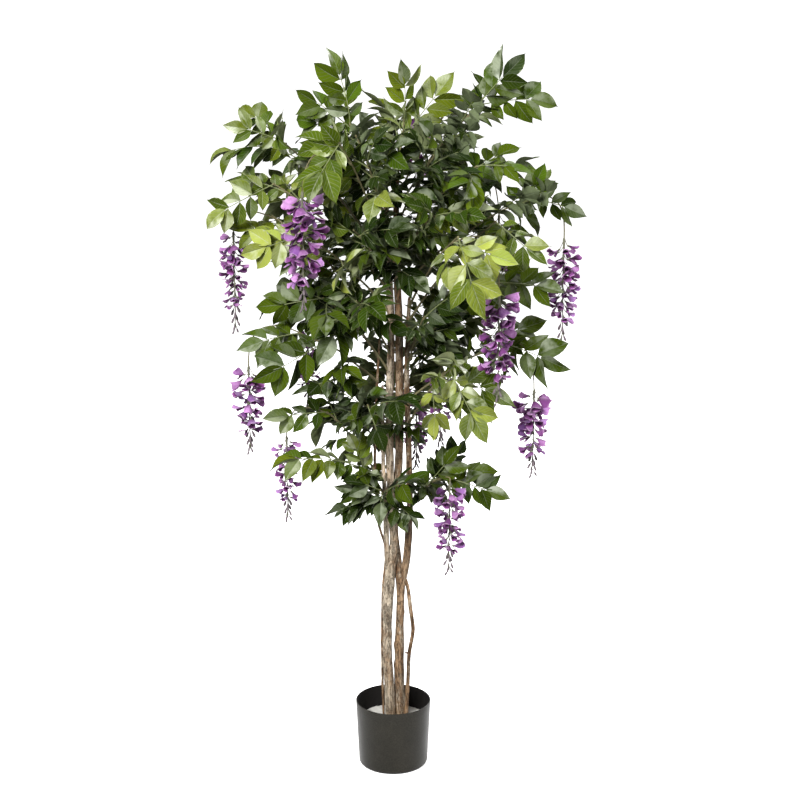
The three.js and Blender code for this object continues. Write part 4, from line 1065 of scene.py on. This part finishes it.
# Where the florets begin and end as shares of the stalk, their pitch in millimetres, the
# size of the last one, and the turn in degrees from one to the next. `reach` and `stray`
# are how far a floret's reach and its turn stray.
FLORETS = {
    "first": 0.05, "last": 0.74, "pitch": 4.8, "narrowest": 0.78, "turn": 137.5,
    "reach": (0.86, 1.1), "stray": (-16, 16),
}
BUDS = {"count": 10, "first": 0.73, "last": 0.985, "largest": 1.15, "smallest": 0.8, "wire": (7, 11)}
# Turned forms: [distance along, radius].
SLEEVE_FORM = [(-2, 2.4), (0, 3.4), (12, 3.1), (22, 2.1)]
CUP_FORM = [(-1, 0.9), (1, 2.3), (3.2, 2.6), (5, 2.0)]
BUD_FORM = [(0, 1.0), (1.92, 1.8), (6.4, 2.7), (11.2, 3.0), (14.72, 2.2), (16, 0.5)]
PETAL_THICK = 0.5
# A floret's tilt in degrees and roll, and in shares of its reach: how far out and how low
# its cup is, and how long its petals are.
FLORET = {
    "tilt": (-2, 48), "roll": (-0.6, 0.6), "out": (0.2, 0.42), "low": (-0.1, 0.2), "long": (0.68, 0.86),
}
STALK = {"top": 2.1, "end": 1.0, "sway": 1.6}
RACEME_SEED = 901
# The places of these finishes in a raceme's list, where the petal's is 0.
CUP_GREEN, BUD_GREY = 1, 2
FAN_NET = Net(
    [0, 0.1, 0.28, 0.48, 0.66, 0.8, 0.9, 0.97, 1],
    [-1, -0.78, -0.52, -0.26, 0, 0.26, 0.52, 0.78, 1],
    outline(0, 1, rise=0.8, fall=0.3),
)
KEEL_NET = Net([0, 0.16, 0.42, 0.7, 0.92, 1], [-1, -0.5, 0, 0.5, 1], outline(0, 1, rise=0.6, fall=0.45))


def floret(shape, foot, turn, reach, draw):
    """One flower: its wire from the stalk, its cup, a fan over a scoop, and the keel inside."""
    out = outwards(turn)
    tilt = math.radians(draw(*FLORET["tilt"]))
    slope = out * math.cos(tilt) - UP * math.sin(tilt)
    cup = foot + out * reach * draw(*FLORET["out"]) - UP * reach * draw(*FLORET["low"])
    high = foot + out + UP * 0.42 * reach
    bowed = foot + out * 0.1 * reach + UP * 0.2 * reach
    wire = [bow(high, bowed, cup, t) for t in (0, 0.35, 0.7, 1)]
    rod(shape, wire, [0.9, 0.85, 0.85, 1.0], 5, CUP_GREEN)
    spindle(shape, cup, slope, CUP_FORM, CUP_GREEN)
    long = reach * draw(*FLORET["long"])
    tint = draw(0, 1)
    roll = draw(*FLORET["roll"])
    up = square(UP + out * 0.2, slope)
    up = up * math.cos(roll) + np.cross(slope, up) * math.sin(roll)
    aside = np.cross(up, slope)

    def petal(net, yaw, fall, share, wide, shade, over=1, **form):
        """A blade turned sideways by `yaw` and down by `fall` degrees; `over` -1 faces it down."""
        angle, swing = math.radians(fall), math.radians(yaw)
        along = slope * math.cos(swing) + aside * math.sin(swing)
        along = along * math.cos(angle) - up * math.sin(angle)
        size = long * share
        normal = square(up, along) * over
        foot = cup + slope * 2
        blade(shape, net, foot, along, normal, size, size * wide, tint * shade, PETAL_THICK, **form)

    petal(
        FAN_NET, yaw=draw(-12, 12), fall=draw(-30, -8), share=1, wide=draw(0.82, 1.05), shade=1,
        cup=draw(-0.9, -0.2), bend=draw(-0.9, 0.3), notch=0.1, frill=draw(1.0, 2.6), phase=draw(0, 6),
        twist=draw(-0.6, 0.6),
    )
    petal(
        FAN_NET, yaw=draw(-20, 20), fall=draw(14, 36), share=draw(0.7, 0.92), wide=draw(0.72, 0.95),
        shade=0.8, over=-1, cup=draw(-0.8, -0.3), bend=draw(-0.4, 0.5), notch=0.08, frill=draw(0.6, 1.8),
        phase=draw(0, 6), twist=draw(-0.4, 0.4),
    )
    petal(
        KEEL_NET, yaw=draw(-8, 8), fall=6, share=0.6, wide=0.5, shade=0.5, fold=0.7, bend=draw(-0.3, 0.3),
    )


violet = Finish("violet_cloth_petal", Specular_IOR_Level=0.2, Sheen_Weight=0.15, Sheen_Roughness=0.4)
along, across, face, tint = blade_marks(violet)
aside, outer = abs(across), violet.fade(face, 0.4, 0.6)
mottle = violet.noise(120, detail=4)
streaks = violet.fade(abs(saw(aside * 5.5) - 0.5), 0.3, 0.5) * violet.fade(along, 0.95, 0.3)
# A paler margin, partly the cloth's own colour and partly a painted highlight.
margin = violet.fade(along + aside * 0.12, 0.9, 1.06)
paleness = violet.fade(tint + (mottle - 0.5) * 0.9, 0, 1)
lilac = violet.blend(paleness, (0.16, 0.037, 0.17), (0.52, 0.255, 0.54))
bluish = violet.fade(saw(tint * 4.3), 0.4, 1)
lilac = violet.blend(bluish * 0.4, lilac, (0.23, 0.12, 0.42))
# Painted shade: darker towards the petal's foot, deep inside the floret.
lilac = violet.blend(violet.fade(along, 0.6, 0.0) * 0.8, lilac, (0.12, 0.03, 0.11))
lilac = violet.blend(streaks * 0.4, lilac, (0.17, 0.035, 0.2))
# Painted shade: the petal's inner face is dark purple, darkest at its foot.
painted_hollow_shade = violet.blend(violet.fade(along, 0.5, 1.0), (0.07, 0.006, 0.06), (0.34, 0.1, 0.36))
petals = violet.blend(margin * 0.45, violet.blend(outer, painted_hollow_shade, lilac), (0.66, 0.45, 0.62))
violet.feed(Base_Color=petals, Roughness=0.62 + 0.2 * mottle)
violet.bump(mottle * 0.6 - 0.6 * streaks + 0.3 * violet.noise(900, detail=1), 0.0005)

cup_green = mottled(
    "green_cup", 0.3, [200], (0.075, 0.085, 0.045), (0.2, 0.19, 0.14), (0.6, 0.2), 0.0004,
)
bud_grey = mottled(
    "grey_violet_bud", 0.25, [160], (0.075, 0.06, 0.07), (0.24, 0.19, 0.21), (0.65, 0.2), 0.0004,
)

for number, (name, _, top, length, radius) in enumerate(racemes, 1):
    shape, draw = Shape(), seeded(number + RACEME_SEED)
    head = np.array(top, float) + UP * SLEEVE
    whole = length + SLEEVE
    steps = np.linspace(0, 1, 18)
    sway = STALK["sway"] * np.sin(steps * 9 + number) * steps
    stalk = head - np.outer(steps * whole, UP) + np.outer(sway, [1, 0, 0])
    stalk = stalk + np.outer(sway[::-1] * 0.5, [0, 1, 0])
    rod(shape, stalk, mix(STALK["top"], STALK["end"], steps), 7, CUP_GREEN)
    spindle(shape, head, -UP, SLEEVE_FORM, CUP_GREEN, sides=10)
    count = round((FLORETS["last"] - FLORETS["first"]) * whole / FLORETS["pitch"])
    for n in range(count):
        share = n / (count - 1)
        t = mix(FLORETS["first"], FLORETS["last"], share)
        reach = radius * mix(1.0, FLORETS["narrowest"], share) * draw(*FLORETS["reach"])
        turn = math.radians(n * FLORETS["turn"] + draw(*FLORETS["stray"]))
        floret(shape, head - UP * whole * t, turn, reach, draw)
    for n in range(BUDS["count"]):
        share = n / (BUDS["count"] - 1)
        size = mix(BUDS["largest"], BUDS["smallest"], share)
        out = outwards(math.radians(n * FLORETS["turn"]))
        foot = head - UP * whole * mix(BUDS["first"], BUDS["last"], share)
        fall = unit(out * draw(0.35, 0.7) - UP)
        end = foot + fall * draw(*BUDS["wire"]) * size
        rod(shape, [foot, mix(foot, end, 0.5) + out * 0.8, end], [0.9, 0.9, 1.0], 5, CUP_GREEN)
        spindle(shape, end, unit(fall - UP * draw(0, 0.3)), BUD_FORM, BUD_GREY, size=size)
    shape.piece(f"flowers_{name}", "petal", [violet, cup_green, bud_grey], f"raceme_{name}")


# ---- Floor and light ----------------------------
# A pale floor that sweeps up into a round wall. A soft light stands in front and to the
# left, one hangs overhead, and weaker ones fill from the right and behind.

# In metres, as the lights are.
ROOM_SIDE = {"radius": 16, "corner": 4, "height": 14}

floor = Finish("pale_floor", Specular_IOR_Level=0.1, Emission_Strength=0.82)
distance = floor.node("VectorMath", {"operation": "LENGTH"}, {0: floor.spot()}, out=1)
far = floor.fade(distance, 1.2, 9)
speck = floor.noise(3, detail=2)
pale = floor.blend(speck, (0.9, 0.9, 0.9), (0.92, 0.92, 0.92))
floor.feed(Base_Color=pale, Roughness=0.9, Emission_Color=floor.blend(far, pale, (1.2, 1.2, 1.2)))
corner = ROOM_SIDE["corner"]
sweep = rounded(corner, (ROOM_SIDE["radius"] - corner, corner), -90, 0, 12)
profile = [[0, 0], [0.01, 0], *sweep, [ROOM_SIDE["radius"], ROOM_SIDE["height"]], [0, 0]]
points, (wall, middle, _) = turned(profile, segments=72)
mesh = bpy.data.meshes.new("floor")
mesh.from_pydata(points[:-1], [], [*middle[:, ::-1].tolist(), *wall[:, ::-1].tolist()])
mesh.shade_smooth()
mesh.materials.append(floor.material)
ground = bpy.data.objects.new("floor", mesh)
bpy.context.scene.collection.objects.link(ground)
ground.visible_diffuse = False

# Name, place, the height it aims at, width and watts.
for name, place, aim, size, power in (
    ("key", (-1.8, -4.2, 3.9), 1.0, 1.6, 460),
    ("overhead", (0.3, 0.2, 5.0), 1.0, 2.0, 90),
    ("fill", (3.4, -2.4, 2.4), 1.0, 2.0, 90),
    ("back", (1.2, 4.2, 3.0), 1.1, 2.4, 190),
):
    lamp = bpy.data.lights.new(name, "AREA")
    lamp.size, lamp.energy = size, power
    light = bpy.data.objects.new(name, lamp)
    light.location = place
    light.rotation_euler = (light.location - Vector((0, 0, aim))).to_track_quat("Z", "Y").to_euler()
    light.visible_camera = False
    bpy.context.scene.collection.objects.link(light)

world = bpy.data.worlds.new("room")
world.use_nodes = True
glow = world.node_tree.nodes["Background"]
glow.inputs["Color"].default_value = (1, 1, 1, 1)
glow.inputs["Strength"].default_value = 0.15
bpy.context.scene.world = world
bpy.context.scene.view_settings.view_transform = "Standard"
